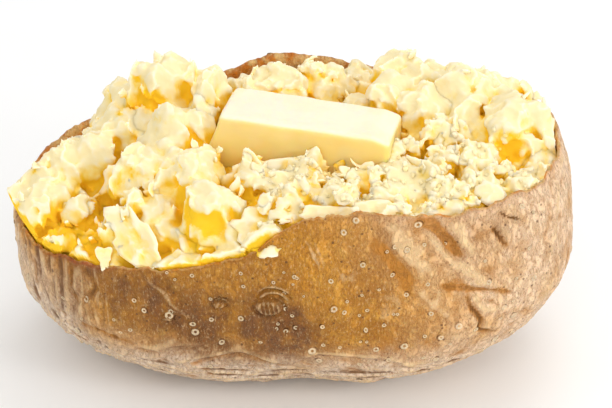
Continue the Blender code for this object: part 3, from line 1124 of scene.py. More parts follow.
CHUNKS = (
    Chunk(-53, -8.5, 41, 7, 7, 6, 0.0),
    Chunk(-50, -1, 43.5, 7, 6, 5.5, 0.1),
    Chunk(-56, -12, 39.5, 5, 5, 5, 0.0),
    Chunk(-50, -17.5, 34.5, 5, 4, 4, 0.0),
    Chunk(-44, -22, 34, 5, 4, 4, 0.1),
    Chunk(-37, -26, 33.5, 5, 4, 4, 0.0),
    Chunk(-30, -29, 34.5, 5, 4, 4, 0.1),
    Chunk(-22, -31, 36.5, 5, 4, 4, 0.0),
    Chunk(-13, -33, 39, 5, 4, 4, 0.1),
    Chunk(-4, -33.5, 43, 5, 4, 4, 0.1),
    Chunk(-56, -2, 37, 4.5, 5, 4, 0.0),
    Chunk(-43, 0, 45.5, 8, 6, 5.5, 0.15),
    Chunk(-42, 10, 46.5, 5, 5, 5, 0.6),
    Chunk(-46.5, -14, 42, 3.6, 2.4, 2.6, 0.2),
    Chunk(-28.5, 12, 56.5, 7, 7, 8.0, 0.4),
    Chunk(-20, 12, 55.5, 6, 6, 6.5, 0.6),
    Chunk(-33, 13, 54, 5.5, 6, 6.5, 0.4),
    Chunk(-38, 15, 52, 4, 4, 4.5, 0.5),
    Chunk(-36.4, 4.5, 50, 5, 4.5, 5, 0.4),
    Chunk(-27, -3.5, 52.5, 5.5, 4.5, 8, 0.5, 0.55),
    Chunk(-32, -10, 47.5, 7, 5, 5.5, 0.5),
    Chunk(-22.5, -13.5, 49, 6.5, 5.5, 6, 0.7),
    Chunk(-29, -19, 44.5, 6.5, 4.5, 4.5, 0.6),
    Chunk(-38, -20, 41, 3.2, 2.6, 6, 0.4, 0.3),
    Chunk(-16, -24, 47.5, 6.5, 5, 5.5, 0.5),
    Chunk(-6.5, -17, 50, 6.5, 5, 4, 1.0),
    Chunk(2, -18, 50.5, 6, 4.5, 4.5, 1.2),
    Chunk(-9, -12.5, 50.5, 3, 2.5, 5.0, 0.6, 0.7),
    Chunk(3.5, -13.5, 50.5, 3, 2.5, 5.0, 0.6, 0.7),
    Chunk(11, -17, 50, 6, 4, 4, 1.0),
    Chunk(10, -25, 50.5, 7, 4.5, 3.0, 1.2),
    Chunk(0, -25, 49.5, 6, 4, 3.5, 1.2),
    Chunk(7, 20, 54, 6, 5, 5, 1.3),
    Chunk(-4, 17, 54, 6, 5, 5, 1.1),
    Chunk(22, 13, 54.5, 6.5, 6.5, 6.0, 0.3),
    Chunk(27, 16, 55.5, 6, 6, 5.5, 0.4),
    Chunk(27, 6, 54, 5, 5, 6, 0.5),
    Chunk(37, 9, 56, 8, 7, 6.5, 0.3),
    Chunk(47, -1, 55, 7, 7.5, 6.5, 0.2),
    Chunk(50, 6, 53.5, 5.5, 6, 5.5, 0.4),
    Chunk(33, -4, 54.5, 4.5, 3, 4.2, 0.5, 0.2),
    Chunk(31, -12, 52.5, 6, 4.5, 4, 1.4),
    Chunk(40, -12, 52, 6, 5, 4, 1.4),
    Chunk(25, -17, 49.5, 7, 5, 6, 0.4),
    Chunk(19, -12, 50.5, 3.5, 3, 4.5, 1.2),
    Chunk(35, -21, 51, 6, 4, 3, 1.3),
)


class Part(Enum):
    """The parts of the heap, each from one distance along the potato to another, in mm."""

    POINTED_END = (-99.0, -32.0)
    POINTED_HALF = (-32.0, -12.0)
    MIDDLE = (-12.0, 14.0)
    BLUNT_HALF = (14.0, 34.0)
    BLUNT_END = (34.0, 99.0)


class Skyline:
    """How high the food stands everywhere, to tell a hollow from a crest, in mm."""

    REACH = (70.0, 48.0)
    LOWEST = 20.0
    LOOKS = (0.9, 1.7, 2.7, 4.0, 6.0, 9.0)

    def __init__(self, pieces: list[Mesh], cell: float = 0.5) -> None:
        """Maps the highest point of the pieces over each cell, in mm.

        Args:
            pieces: Meshes in place.
            cell: The size of a cell, in mm.
        """
        self.cell = cell
        self.low = -np.array(self.REACH)
        self.size = (2 * np.array(self.REACH) / cell).astype(int)
        self.top = np.full(self.size, self.LOWEST)
        for piece in pieces:
            points = points_of(piece) / MM
            at = self.cells(points[:, :2])
            np.maximum.at(self.top, (at[:, 0], at[:, 1]), points[:, 2])
        for _ in range(2):
            wide = np.pad(self.top, 1, mode="edge")
            around = np.max([wide[:-2, 1:-1], wide[2:, 1:-1], wide[1:-1, :-2],
                             wide[1:-1, 2:]], axis=0)
            self.top = np.where(self.top < around - 4, around - 1, self.top)

    def cells(self, points: Array) -> Array:
        """The cell over each point."""
        return np.clip(((points - self.low) / self.cell).astype(int), 0, self.size - 1)

    def hollow(self, points: Array) -> Array:
        """Works out how shut in points are.

        Args:
            points: Places in mm.

        Returns:
            0 for a point in the open, near 1 at the bottom of a crevice.
        """
        total = np.zeros(len(points))
        turns = np.arange(12) * math.pi / 6
        for turn in turns:
            way = np.array((math.cos(turn), math.sin(turn)))
            steepest = np.zeros(len(points))
            for far in self.LOOKS:
                at = self.cells(points[:, :2] + far * way)
                rise = self.top[at[:, 0], at[:, 1]] - points[:, 2] - 0.3
                steepest = np.maximum(steepest, rise / far)
            total += steepest / np.sqrt(1 + steepest ** 2)
        return total / len(turns)


def crests(mesh: Mesh, passes: int, size: float) -> Array:
    """How far each point stands out from the surface round it.

    Args:
        mesh: A closed mesh.
        passes: How often the surface is smoothed to compare with; more is wider.
        size: The height that counts as 1, in mm.

    Returns:
        -1 in the sharpest dents to 1 on the sharpest crests, by point.
    """
    points = points_of(mesh)
    ends = ends_of(mesh)
    both = np.concatenate([ends, ends[:, ::-1]])
    count = np.maximum(np.bincount(both[:, 0], minlength=len(points)), 1)
    smooth = points.copy()
    for _ in range(passes):
        smooth = np.stack([np.bincount(both[:, 0], smooth[both[:, 1], axis],
                                       len(points)) / count for axis in range(3)], -1)
    out = ((points - smooth) * normals_of(mesh)).sum(-1)
    return np.clip(out / (size * MM), -1, 1)


def without_specks(mesh: Mesh, least: int) -> None:
    """Takes away the small loose bits of a mesh.

    Args:
        mesh: The mesh to clean.
        least: The fewest points that a bit needs to stay.
    """
    ends = ends_of(mesh)
    label = np.arange(len(mesh.vertices))
    while True:
        low = np.minimum(label[ends[:, 0]], label[ends[:, 1]])
        new = label.copy()
        np.minimum.at(new, ends[:, 0], low)
        np.minimum.at(new, ends[:, 1], low)
        new = new[new]
        if (new == label).all():
            break
        label = new
    size = np.bincount(label, minlength=len(label))
    if (size[label] >= least).all():
        return
    shape = bmesh.new()
    shape.from_mesh(mesh)
    shape.verts.ensure_lookup_table()
    small = [shape.verts[at] for at in np.flatnonzero(size[label] < least)]
    bmesh.ops.delete(shape, geom=small, context="VERTS")
    shape.to_mesh(mesh)
    shape.free()


@dataclass
class Heap:
    """The forked-up flesh: chunks broken into flakes and granules, over a moist core."""

    voxel: float = 0.42
    base_voxel: float = 0.6
    fill_spacing: float = 7.6
    fill_reach: tuple[float, float] = (4.2, 6.2)
    crag_size: float = 7.0
    crag_depth: float = 7.0
    crevice_size: float = 8.5
    crevice_depth: float = 1.0
    ridge_size: float = 9.0
    ridge_depth: float = 2.2
    shard_size: float = 5.5
    shard_depth: float = 2.7
    chip_size: float = 1.7
    chip_depth: float = 0.9
    core_inset: float = 2.4
    core_reach: tuple[float, float] = (59.5, 36.0)
    core_voxels: tuple[float, float] = (1.2, 1.1)
    core_crumb: float = 0.8
    core_coarser: float = 1.6
    core_floor: float = 27.0
    floor: float = 26.0
    margin: float = 1.6
    least_points: int = 260
    rim_height: float = 34.0
    noise: Noise = field(default_factory=lambda: Noise(23))

    def fillers(self) -> list[Chunk]:
        """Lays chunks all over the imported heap's surface, between the named ones.

        Returns:
            The chunks.
        """
        tree, _ = packed_tree("flesh")
        low, high = (Vector(corner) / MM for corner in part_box("butter"))
        draw = np.random.default_rng(31)

        def top(x: float, y: float) -> Optional[float]:
            """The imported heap's height over a place, in mm, or nothing beside the heap."""
            hit = tree.ray_cast(Vector((x, y, 90)) * MM, Vector((0, 0, -1)))[0]
            return None if hit is None or hit.z < self.rim_height * MM else hit.z / MM

        found = []
        for row, along in enumerate(np.arange(-60, 61, self.fill_spacing)):
            for across in np.arange(-40, 41, self.fill_spacing):
                x = along + draw.uniform(-1.6, 1.6)
                y = across + draw.uniform(-1.6, 1.6) + (row % 2) * self.fill_spacing / 2
                reach = draw.uniform(*self.fill_reach)
                drop = draw.uniform(0.0, 1.0)
                wide = draw.uniform(0.9, 1.3)
                tall = draw.uniform(0.8, 1.2)
                if low.x - 1 < x < high.x + 1 and low.y - 0.5 < y + 0.22 * (x - 1.6) < high.y:
                    continue
                for _ in range(4):
                    out = 1.1 * reach + 0.8
                    ring = [top(x + out * math.cos(turn), y + out * math.sin(turn))
                            for turn in np.arange(8) * math.pi / 4]
                    if all(part is not None for part in ring):
                        break
                    x, y, reach = x * 0.97, y * 0.95, reach * 0.86
                middle = top(x, y)
                if middle is None or None in ring:
                    continue
                right_front = smooth_step(np.array(x), -12, 4) * smooth_step(np.array(-y), 2, 10)
                crumb = 0.3 + 0.65 * float(right_front) + draw.uniform(-0.2, 0.2)
                left = float(smooth_step(np.array(-x), 8, 20))
                under = (0.3 + 1.2 * left) + drop * (0.8 + 1.6 * left) + 0.85 * reach * tall
                found.append(Chunk(x, y, middle - under, reach * wide, reach / wide * 1.1,
                                   reach * tall, crumb))
        return found

    def base(self, part: Part, chunks: list[Chunk]) -> Object:
        """Melts the chunks of one part of the heap into one closed surface.

        Args:
            part: The part.
            chunks: All the chunks; those whose middle is in the part are taken.

        Returns:
            The melted object, with its way of breaking stored.
        """
        shape = bmesh.new()
        bmesh.ops.create_icosphere(shape, subdivisions=4, radius=1)
        ball = np.array([vert.co for vert in shape.verts])
        faces = np.array([[vert.index for vert in face.verts] for face in shape.faces])
        shape.free()
        draw = np.random.default_rng(3 + list(Part).index(part))
        mine = [chunk for chunk in chunks if part.value[0] <= chunk.x < part.value[1]]
        points = [chunk.points(ball, draw, self.noise) for chunk in mine]
        corners = [faces + at * len(ball) for at in range(len(mine))]
        lumps = self.melted(mesh_from("lumps", np.concatenate(points),
                                      np.concatenate(corners).tolist()), self.base_voxel)
        at = points_of(lumps.data) / MM
        weight = np.zeros(len(at))
        crumb = np.zeros(len(at))
        for chunk in mine:
            off = (at - (chunk.x, chunk.y, chunk.z)) / (chunk.rx, chunk.ry, chunk.rz)
            near = 1 / (0.02 + (off ** 2).sum(-1)) ** 3
            weight += near
            crumb += near * chunk.crumb
        self.note_break(lumps.data, crumb / weight)
        return lumps

    @staticmethod
    def melted(mesh: Mesh, voxel: float) -> Object:
        """Makes one closed surface of a mesh whose parts overlap.

        Args:
            mesh: The mesh.
            voxel: The size of the new faces, in mm.

        Returns:
            A new object.
        """
        made = add_object("melted", mesh)
        melt = made.modifiers.new("melt", "REMESH")
        melt.mode = "VOXEL"
        melt.voxel_size = voxel * MM
        bpy.context.view_layer.update()
        graph = bpy.context.evaluated_depsgraph_get()
        whole = bpy.data.meshes.new_from_object(made.evaluated_get(graph), depsgraph=graph)
        made.modifiers.clear()
        made.data = whole
        return made

    @staticmethod
    def note_break(mesh: Mesh, crumb: Array) -> None:
        """Stores the way each point faces, at a length of 1 more than its crumb."""
        set_attribute(mesh, "break", normals_of(mesh) * (1 + crumb)[:, None])

    def breaking(self, material: Material) -> NodeShape:
        """Builds the tree that breaks a smooth surface into chunks, flakes and granules.

        Args:
            material: The flesh's finish.

        Returns:
            The tree, whose inputs are the sizes and depths of each kind of break.
        """
        shape = NodeShape("broken_flesh")
        for name in ("Low", "High"):
            shape.add_input(name, "NodeSocketVector")
        for name in ("Cells X", "Cells Y", "Cells Z"):
            shape.add_input(name, "NodeSocketInt")
        for name in ("Crag Size", "Crag Depth", "Crevice Size", "Crevice Depth", "Ridge Size",
                     "Ridge Depth", "Shard Size", "Shard Depth", "Chip Size", "Chip Depth"):
            shape.add_input(name, "NodeSocketFloat")
        base = shape.given("Geometry")
        place = add_node(shape.tree, "GeometryNodeInputPosition").outputs[0]
        near = add_node(shape.tree, "GeometryNodeProximity", {0: base, "Sample Position": place})
        stored = add_node(shape.tree, "GeometryNodeInputNamedAttribute", {"Name": "break"},
                           data_type="FLOAT_VECTOR").outputs[0]
        facing = add_node(shape.tree, "GeometryNodeSampleNearestSurface", {
            0: base, 1: stored, "Sample Position": place}, data_type="FLOAT_VECTOR").outputs[0]
        crumb = shape.add(MATH, "SUBTRACT", shape.add(MEASURE, "LENGTH", facing), 1.0)
        beyond = shape.add(VECTOR, "SUBTRACT", place, near.outputs["Position"])
        side = shape.add(MATH, "SIGN", shape.add(MEASURE, "DOT_PRODUCT", beyond, facing))
        outside = shape.add(MATH, "MULTIPLY", side, near.outputs["Distance"])
        depth = shape.add(MATH, "MULTIPLY", outside, -1 / MM)
        mm = shape.add(VECTOR, "SCALE", place)
        mm.node.inputs["Scale"].default_value = 1 / MM

        scale = {name: shape.add(MATH, "DIVIDE", 1.0, shape.given(name + " Size"))
                 for name in ("Crag", "Crevice", "Ridge", "Shard", "Chip")}
        crag = shape.add(MATH, "SUBTRACT", shape.add(NOISE, mm, scale["Crag"], 3.6, 0.56), 0.5)
        crag = shape.add(MATH, "MULTIPLY", crag, shape.add(MATH, "MULTIPLY_ADD", crumb, 0.75, 0.25))
        broken = shape.add(MATH, "MULTIPLY_ADD", crag, shape.given("Crag Depth"), depth)
        bend = shape.add(DRIFT, mm, scale["Crag"], 3, 0.56)
        bend = shape.add(VECTOR, "SUBTRACT", bend, (0.5, 0.5, 0.5))
        bent = shape.add(VECTOR, "MULTIPLY_ADD", bend, (6.0, 6.0, 6.0), mm)
        edge = shape.add(CELL_EDGE, bent, scale["Crevice"])
        crevice = shape.add(SPAN, edge, 0.01, 0.10, 1.0, 0.0)
        crevice = shape.add(MATH, "MULTIPLY", crevice, crumb)
        sunk = shape.add(MATH, "MULTIPLY", shape.given("Crevice Depth"), -1)
        broken = shape.add(MATH, "MULTIPLY_ADD", crevice, sunk, broken)
        slant = shape.add(VECTOR, "MULTIPLY", bent, (1.0, 1.0, 0.6))
        torn = shape.add(NOISE, slant, scale["Ridge"], 2.0, 0.5)
        torn = shape.add(MATH, "ABSOLUTE", shape.add(MATH, "MULTIPLY_ADD", torn, 4.0, -2.0))
        torn = shape.add(MATH, "SUBTRACT", 1.0, shape.add(MATH, "MINIMUM", torn, 1.0))
        torn = shape.add(MATH, "POWER", torn, 2.0)
        broken = shape.add(MATH, "MULTIPLY_ADD", shape.add(MATH, "SUBTRACT", torn, 0.35),
                            shape.given("Ridge Depth"), broken)
        grainy = shape.add(MATH, "MAXIMUM", shape.add(MATH, "SUBTRACT", crumb, 0.45), 0.0)
        for name, vector, share in (("Shard", slant, shape.add(MATH, "MULTIPLY_ADD", crumb, 0.6, 0.4)),
                                    ("Chip", bent, shape.add(MATH, "MULTIPLY", grainy, 1.6))):
            step = add_node(shape.tree, "ShaderNodeSeparateXYZ", {
                0: shape.add(CELL, vector, scale[name])}).outputs[0]
            step = shape.add(MATH, "MULTIPLY", shape.add(MATH, "SUBTRACT", step, 0.5), share)
            broken = shape.add(MATH, "MULTIPLY_ADD", step, shape.given(name + " Depth"), broken)
        cube = add_node(shape.tree, "GeometryNodeVolumeCube", {
            "Density": broken, "Background": -9.0, "Min": shape.given("Low"),
            "Max": shape.given("High"), "Resolution X": shape.given("Cells X"),
            "Resolution Y": shape.given("Cells Y"), "Resolution Z": shape.given("Cells Z")})
        skin = add_node(shape.tree, "GeometryNodeVolumeToMesh",
                        {"Volume": cube.outputs[0], "Threshold": 0.0})
        shape.finish(skin.outputs[0], material)
        return shape

    def broken(self, shape: NodeShape, base: Object, name: str, coarser: float,
               floor: float) -> Mesh:
        """Breaks one smooth piece of flesh.

        Args:
            shape: The breaking tree.
            base: The smooth piece.
            name: The new mesh's name.
            coarser: How many times larger the cells of the grid are.
            floor: The height in mm below which nothing is made.

        Returns:
            The broken mesh.
        """
        voxel = self.voxel * 1.0 * coarser
        at = points_of(base.data) / MM
        low, high = at.min(0) - self.margin, at.max(0) + self.margin
        low[2] = max(low[2], floor)
        cells = np.ceil((high - low) / voxel).astype(int)
        high = low + cells * voxel
        mesh = shape.made_on(base, name, {
            "Low": tuple(low * MM), "High": tuple(high * MM), "Cells X": int(cells[0]) + 1,
            "Cells Y": int(cells[1]) + 1, "Cells Z": int(cells[2]) + 1,
            "Crag Size": self.crag_size, "Crag Depth": self.crag_depth,
            "Crevice Size": self.crevice_size, "Crevice Depth": self.crevice_depth,
            "Ridge Size": self.ridge_size, "Ridge Depth": self.ridge_depth,
            "Shard Size": self.shard_size, "Shard Depth": self.shard_depth,
            "Chip Size": self.chip_size, "Chip Depth": self.chip_depth})
        without_specks(mesh, self.least_points)
        return mesh

    def core(self) -> Object:
        """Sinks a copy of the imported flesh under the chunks, but not under the butter.

        Returns:
            The smooth core, with its way of breaking stored.
        """
        solid = packed_shape("flesh")
        inner = bpy.data.meshes.new("inner")
        solid.to_mesh(inner)
        solid.free()
        base = self.melted(inner, self.core_voxels[0])
        base.data.shade_smooth()
        points, normals = points_of(base.data), normals_of(base.data)
        low, high = (np.array(corner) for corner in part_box("butter"))
        beside = np.abs(points[:, :2] - (low + high)[:2] / 2) - (high - low)[:2] / 2
        within = 1 - np.hypot(*(points[:, :2] / self.core_reach / MM).T)
        inset = smooth_step(normals[:, 2], 0.1, 0.7) * smooth_step(
            beside.max(-1) / MM, 1.0, 4.0) * smooth_step(within, 0.04, 0.22)
        points -= normals * (0.5 + self.core_inset * inset)[:, None] * MM
        sunk = base.data
        sunk.vertices.foreach_set("co", points.ravel())
        sunk.update()
        bpy.data.objects.remove(base)
        base = self.melted(sunk, self.core_voxels[1])
        base.data.shade_smooth()
        self.note_break(base.data, np.full(len(base.data.vertices), self.core_crumb))
        return base

    def meshes(self, material: Material) -> list[Mesh]:
        """Builds the whole heap.

        Args:
            material: The flesh's finish.

        Returns:
            The parts of the heap and, last, the core under them.
        """
        shape = self.breaking(material)
        chunks = [*CHUNKS, *self.fillers()]
        made = []
        for part in Part:
            base = self.base(part, chunks)
            name = "flesh_" + part.name.lower()
            made.append(self.broken(shape, base, name, 1.0, self.floor))
            bpy.data.objects.remove(base)
        base = self.core()
        made.append(self.broken(shape, base, "flesh_core", self.core_coarser, self.core_floor))
        bpy.data.objects.remove(base)
        return made


@dataclass(frozen=True)
class PaintedShadeAndLoose:
    """Where the flesh takes painted golden shade, where painted light leaves it pale, and where it is
    loose.
    """

    # Painted shade added low by the front rim (foot) and on steep sides (flank); summit takes some off
    # the high tops, as painted light.
    foot: float = 0.2
    summit: float = -0.1
    flank: float = 0.08
    crest_passes: int = 4
    crest_size: float = 0.22
    patch_size: float = 7.0
    loose_above: float = 36.0

    def settle(self, mesh: Mesh, skyline: Skyline) -> None:
        """Stores each point's painted shade and how far it stands out, for the flesh's finish.

        Args:
            mesh: A part of the heap.
            skyline: The height of the food all round.
        """
        place = points_of(mesh) / MM
        low = smooth_step(-place[:, 2], -44, -38) * smooth_step(-place[:, 1], 12, 22)
        high = smooth_step(place[:, 2], 46, 58)
        steep = smooth_step(-normals_of(mesh)[:, 2], -0.7, 0.1)
        painted_shade = skyline.hollow(place) + self.foot * low + self.summit * high
        set_attribute(mesh, "hollow", painted_shade + self.flank * steep)
        set_attribute(mesh, "crest", crests(mesh, self.crest_passes, self.crest_size))

    def loosen(self, mesh: Mesh) -> None:
        """Stores how likely each point is to carry a crumb: on top, at the low side's right.

        Args:
            mesh: A part of the heap.
        """
        at = points_of(mesh) / MM
        patch = Noise(71).layered(at, self.patch_size, 2)
        granular = smooth_step(at[:, 0], -16, 4) * smooth_step(-at[:, 1], 4, 12)
        loose = smooth_step(normals_of(mesh)[:, 2], -0.1, 0.5) * granular
        loose = loose * np.clip(0.9 + 0.5 * patch, 0, 1)
        set_attribute(mesh, "loose", loose * (at[:, 2] > self.loose_above))


@dataclass(frozen=True)
class Flake:
    """A thin torn sheet of flesh from its root to its tip, in mm, and the way it faces."""

    root: Triple
    tip: Triple
    width: float
    face: Triple = (0.0, -0.8, 0.6)
    curl: float = 0.12
    thick: float = 1.1


FLAKES = (
    Flake((-37, -21, 45.5), (-28.0, -31.5, 37.0), 8.0, (-0.3, -0.8, 0.6), 0.12, 1.4),
    Flake((-10, -26, 49), (-3.5, -36.6, 43.5), 9.5, (-0.1, -0.7, 0.7), 0.12, 1.4),
    Flake((-38, -18.5, 36), (-38, -21, 48), 5.0, (0.3, -0.95, 0.1), 0.1, 1.6),
    Flake((-47.5, -16, 37.0), (-48.5, -19.0, 43.0), 1.6, (0, -1, 0), 0.2, 0.9),
    Flake((-42, -20.5, 36.0), (-43.0, -23.5, 41.5), 1.6, (0, -1, 0), 0.2, 0.9),
    Flake((-50, -13, 42.0), (-42.5, -14.5, 42.5), 5.0, (0, -0.5, 0.85), 0.1, 1.8),
    Flake((-33, -19, 43), (-27, -25, 39.5), 5.0, (0.1, -0.8, 0.6), 0.1, 1.4),
    Flake((-40, -25, 40), (-39.5, -29.0, 35.8), 3.2, (0, -0.8, 0.5), 0.1, 0.9),
    Flake((-15, -26, 45.5), (-12, -33.5, 41.0), 4.5, (0, -0.8, 0.6), 0.1, 1.0),
    Flake((-22, -22, 44), (-21, -31.5, 40.0), 5.0, (0, -0.8, 0.6), -0.1, 1.2),
    Flake((38, -23.5, 53.2), (44.5, -27.2, 50.6), 5.2, (0.1, -0.6, 0.8), 0.05, 2.4),
    Flake((1, -31.0, 50.6), (14, -31.6, 51.6), 4.0, (0, -0.7, 0.7), 0.06, 1.2),
    Flake((12, -30.5, 51.2), (25, -30.8, 52.0), 4.6, (0.1, -0.6, 0.8), 0.05, 1.3),
    Flake((-15, -14.5, 47), (2, -13.2, 53), 8.5, (0, -0.85, 0.5), 0.08, 1.6),
    Flake((4.5, -14, 48), (3.5, -12.6, 56), 5.0, (0.2, -1, 0.2), 0.1, 1.2),
    Flake((-8, -13, 49), (-10, -12.6, 57), 4.0, (-0.2, -1, 0.2), 0.1, 1.2),
    Flake((35, -6, 51), (31, -4, 58.5), 6.0, (0.2, -1, 0.3), -0.2, 1.8),
    Flake((22, -13, 47), (28.5, -19, 55), 8.0, (-0.6, -0.5, 0.6), 0.1, 1.4),
    Flake((12, -18, 48.5), (18, -15.5, 54), 6.0, (0, -0.8, 0.6), 0.1, 1.1),
    Flake((-24, -9, 48), (-16, -11.5, 54.5), 6.0, (0.2, -0.8, 0.5), 0.15, 1.2),
    Flake((-41, -8, 45), (-34, -13, 50), 6.0, (-0.3, -0.7, 0.6), 0.12, 1.2),
)


@dataclass
class Flakes:
    """Thin torn flakes: the named ones, and small ones standing all over the heap."""

    rings: int = 9
    spokes: int = 32
    small_rings: int = 5
    small_spokes: int = 18
    small_count: int = 70
    noise: Noise = field(default_factory=lambda: Noise(41))

    def sheet(self, flake: Flake, rings: int, spokes: int, seed: float) -> tuple[Array, Array]:
        """Builds one flake.

        Args:
            flake: The flake.
            rings: How many rings of points it has.
            spokes: How many points each ring has.
            seed: Picks its ragged outline.

        Returns:
            Its points in mm, and its faces.
        """
        root, tip = np.array(flake.root), np.array(flake.tip)
        middle, axis = (root + tip) / 2, tip - root
        length = float(np.linalg.norm(axis))
        axis = axis / length
        side = normalised(np.cross(np.array(flake.face), axis))
        facing = np.cross(axis, side)
        share = (np.arange(1, rings + 1) / rings)[:, None]
        turn = np.arange(spokes)[None, :] * FULL_TURN / spokes
        rim = np.stack([np.cos(turn), np.sin(turn), 0 * turn + seed], -1)
        ragged = 1 + 0.36 * self.noise.layered(rim, 0.7, 4) * share ** 2
        u, v = share * np.cos(turn) * ragged, share * np.sin(turn) * ragged
        v = v * (1 - 0.30 * u)
        u = np.concatenate([[0.0], u.ravel()])
        v = np.concatenate([[0.0], v.ravel()])
        flat = middle + np.outer(u * length / 2, axis) + np.outer(v * flake.width / 2, side)
        lift = flake.curl * length * (u ** 2 - 0.3) + 0.12 * flake.width * v ** 2
        lift = lift + 0.09 * flake.width * self.noise.layered(flat + seed, 2.6, 3)
        spread = np.concatenate([[0.0], np.repeat(share.ravel(), spokes)])
        half = 0.5 * flake.thick * np.sqrt(np.maximum(1 - spread ** 2.4, 0))
        uneven = 0.18 * self.noise.layered(flat, 1.3, 2) * (spread < 0.999)
        upper = flat + np.outer(lift + half + uneven, facing)
        lower = flat + np.outer(lift - half, facing)
        count = 1 + rings * spokes
        points = np.concatenate([upper, lower[:count - spokes]])
        faces = []
        for under in (False, True):
            for ring in range(rings):
                for at in range(spokes):
                    nxt = (at + 1) % spokes
                    outer = [1 + ring * spokes + at, 1 + ring * spokes + nxt]
                    if ring == 0:
                        loop = [0, *outer]
                    else:
                        loop = [outer[0] - spokes, *outer, outer[1] - spokes]
                    if under:
                        loop = [one + count if one < count - spokes else one
                                for one in reversed(loop)]
                    faces.append(loop)
        return points, faces

    def small_ones(self, heap: list[Mesh]) -> list[Flake]:
        """Draws small flakes that stand up from crests of the heap.

        Args:
            heap: The broken parts of the heap.

        Returns:
            The flakes.
        """
        draw = np.random.default_rng(43)
        points = np.concatenate([points_of(mesh) for mesh in heap]) / MM
        normals = np.concatenate([normals_of(mesh) for mesh in heap])
        height = np.concatenate([crests(mesh, 6, 0.5) for mesh in heap])
        likely = np.flatnonzero((height > 0.15) & (normals[:, 2] > -0.1) & (points[:, 2] > 38))
        found = []
        for at in draw.choice(likely, self.small_count, replace=False):
            way = normalised(0.75 * normals[at] + 0.9 * draw.normal(size=3) * (1, 1, 0.6))
            length, width = draw.uniform(2.0, 5.0), draw.uniform(1.4, 3.6)
            root = points[at] - 0.25 * length * way
            face = tuple(draw.normal(size=3))
            found.append(Flake(tuple(root), tuple(root + length * way), width, face,
                               draw.uniform(-0.2, 0.2), draw.uniform(0.5, 0.95)))
        return found

    def mesh(self, heap: list[Mesh], jacket: Jacket) -> Mesh:
        """Makes all the flakes, the small ones held inside the jacket.

        Args:
            heap: The broken parts of the heap.
            jacket: The wrinkled skin.

        Returns:
            One mesh.
        """
        points, faces, start = [], [], 0
        small = self.small_ones(heap)
        for at, flake in enumerate([*FLAKES, *small]):
            named = at < len(FLAKES)
            rings, spokes = ((self.rings, self.spokes) if named
                             else (self.small_rings, self.small_spokes))
            some, loops = self.sheet(flake, rings, spokes, 5.7 * at)
            if not named:
                some = jacket.held_in(some * MM) / MM
            points.append(some)
            faces.extend([[one + start for one in loop] for loop in loops])
            start += len(some)
        return mesh_from("flesh_flakes", np.concatenate(points) * MM, faces)


class Scatter(NodeShape):
    """A tree that strews copies of a small shape over a surface."""

    def __init__(self, name: str, material: Material, tumbled: bool) -> None:
        """Builds the tree.

        Args:
            name: The tree's name.
            material: The finish of what is strewn.
            tumbled: Whether the copies lie any way up, or stand square to the surface.
        """
        super().__init__(name)
        self.add_input("Shape", "NodeSocketObject")
        for socket in ("Apart", "Most", "Smallest", "Largest"):
            self.add_input(socket, "NodeSocketFloat")
        self.add_input("Seed", "NodeSocketInt")
        chance = add_node(self.tree, "GeometryNodeInputNamedAttribute", {"Name": "loose"},
                          data_type="FLOAT").outputs[0]
        spots = add_node(self.tree, "GeometryNodeDistributePointsOnFaces", {
            "Mesh": self.given("Geometry"), "Distance Min": self.given("Apart"),
            "Density Max": self.given("Most"), "Density Factor": chance,
            "Seed": self.given("Seed")}, distribute_method="POISSON")
        spin = add_node(self.tree, "FunctionNodeRandomValue", {0: (0, 0, 0), 1: (6.28, 6.28, 6.28)},
                        data_type="FLOAT_VECTOR").outputs[0]
        if not tumbled:
            spin = self.add(VECTOR, "MULTIPLY", spin, (0, 0, 1))
        turned = add_node(self.tree, "FunctionNodeRotateRotation", {
            0: spots.outputs["Rotation"], 1: spin}, rotation_space="LOCAL").outputs[0]
        size = add_node(self.tree, "FunctionNodeRandomValue", {
            2: self.given("Smallest"), 3: self.given("Largest"), 8: 3},
            data_type="FLOAT").outputs[1]
        uneven = add_node(self.tree, "FunctionNodeRandomValue", {
            0: (0.7, 0.8, 0.8), 1: (1.2, 1.2, 1.1), 8: 4}, data_type="FLOAT_VECTOR").outputs[0]
        copies = add_node(self.tree, "GeometryNodeInstanceOnPoints", {
            "Points": spots.outputs[0],
            "Instance": add_node(self.tree, "GeometryNodeObjectInfo", {
                0: self.given("Shape")}).outputs["Geometry"],
            "Rotation": turned, "Scale": self.add(VECTOR, "MULTIPLY", size, uneven)})
        self.finish(copies.outputs[0], material)


@dataclass
class Crumbs:
    """Loose granules of flesh on the heap, each a small uneven lump."""

    apart: float = 1.0
    most: float = 0.35
    smallest: float = 0.25
    largest: float = 0.7

    @staticmethod
    def crumb() -> Object:
        """Makes the crumb that is strewn, 2 mm across, of 54 faces.

        Returns:
            An object that is only copied from.
        """
        shape = bmesh.new()
        bmesh.ops.create_cube(shape, size=2)
        bmesh.ops.subdivide_edges(shape, edges=shape.edges[:], cuts=2, use_grid_fill=True)
        points = normalised(np.array([vert.co for vert in shape.verts]))
        faces = [[vert.index for vert in face.verts] for face in shape.faces]
        shape.free()
        noise = Noise(51)
        points = points * (1 + 0.55 * noise(points + 3, 0.8))[:, None]
        return add_object("crumb", mesh_from("crumb", points * MM, faces))

    def mesh(self, ground: Object, material: Material, seed: int) -> Mesh:
        """Strews crumbs over a piece of the heap, where its points are loose.

        Args:
            ground: The piece.
            material: The crumbs' finish.
            seed: Picks where they fall.

        Returns:
            One mesh of all the crumbs.
        """
        crumb = self.crumb()
        made = Scatter("strewn_crumbs", material, tumbled=True).made_on(ground, "crumbs", {
            "Shape": crumb, "Apart": self.apart * MM, "Most": self.most / MM ** 2,
            "Smallest": self.smallest, "Largest": self.largest, "Seed": seed})
        bpy.data.objects.remove(crumb)
        return made


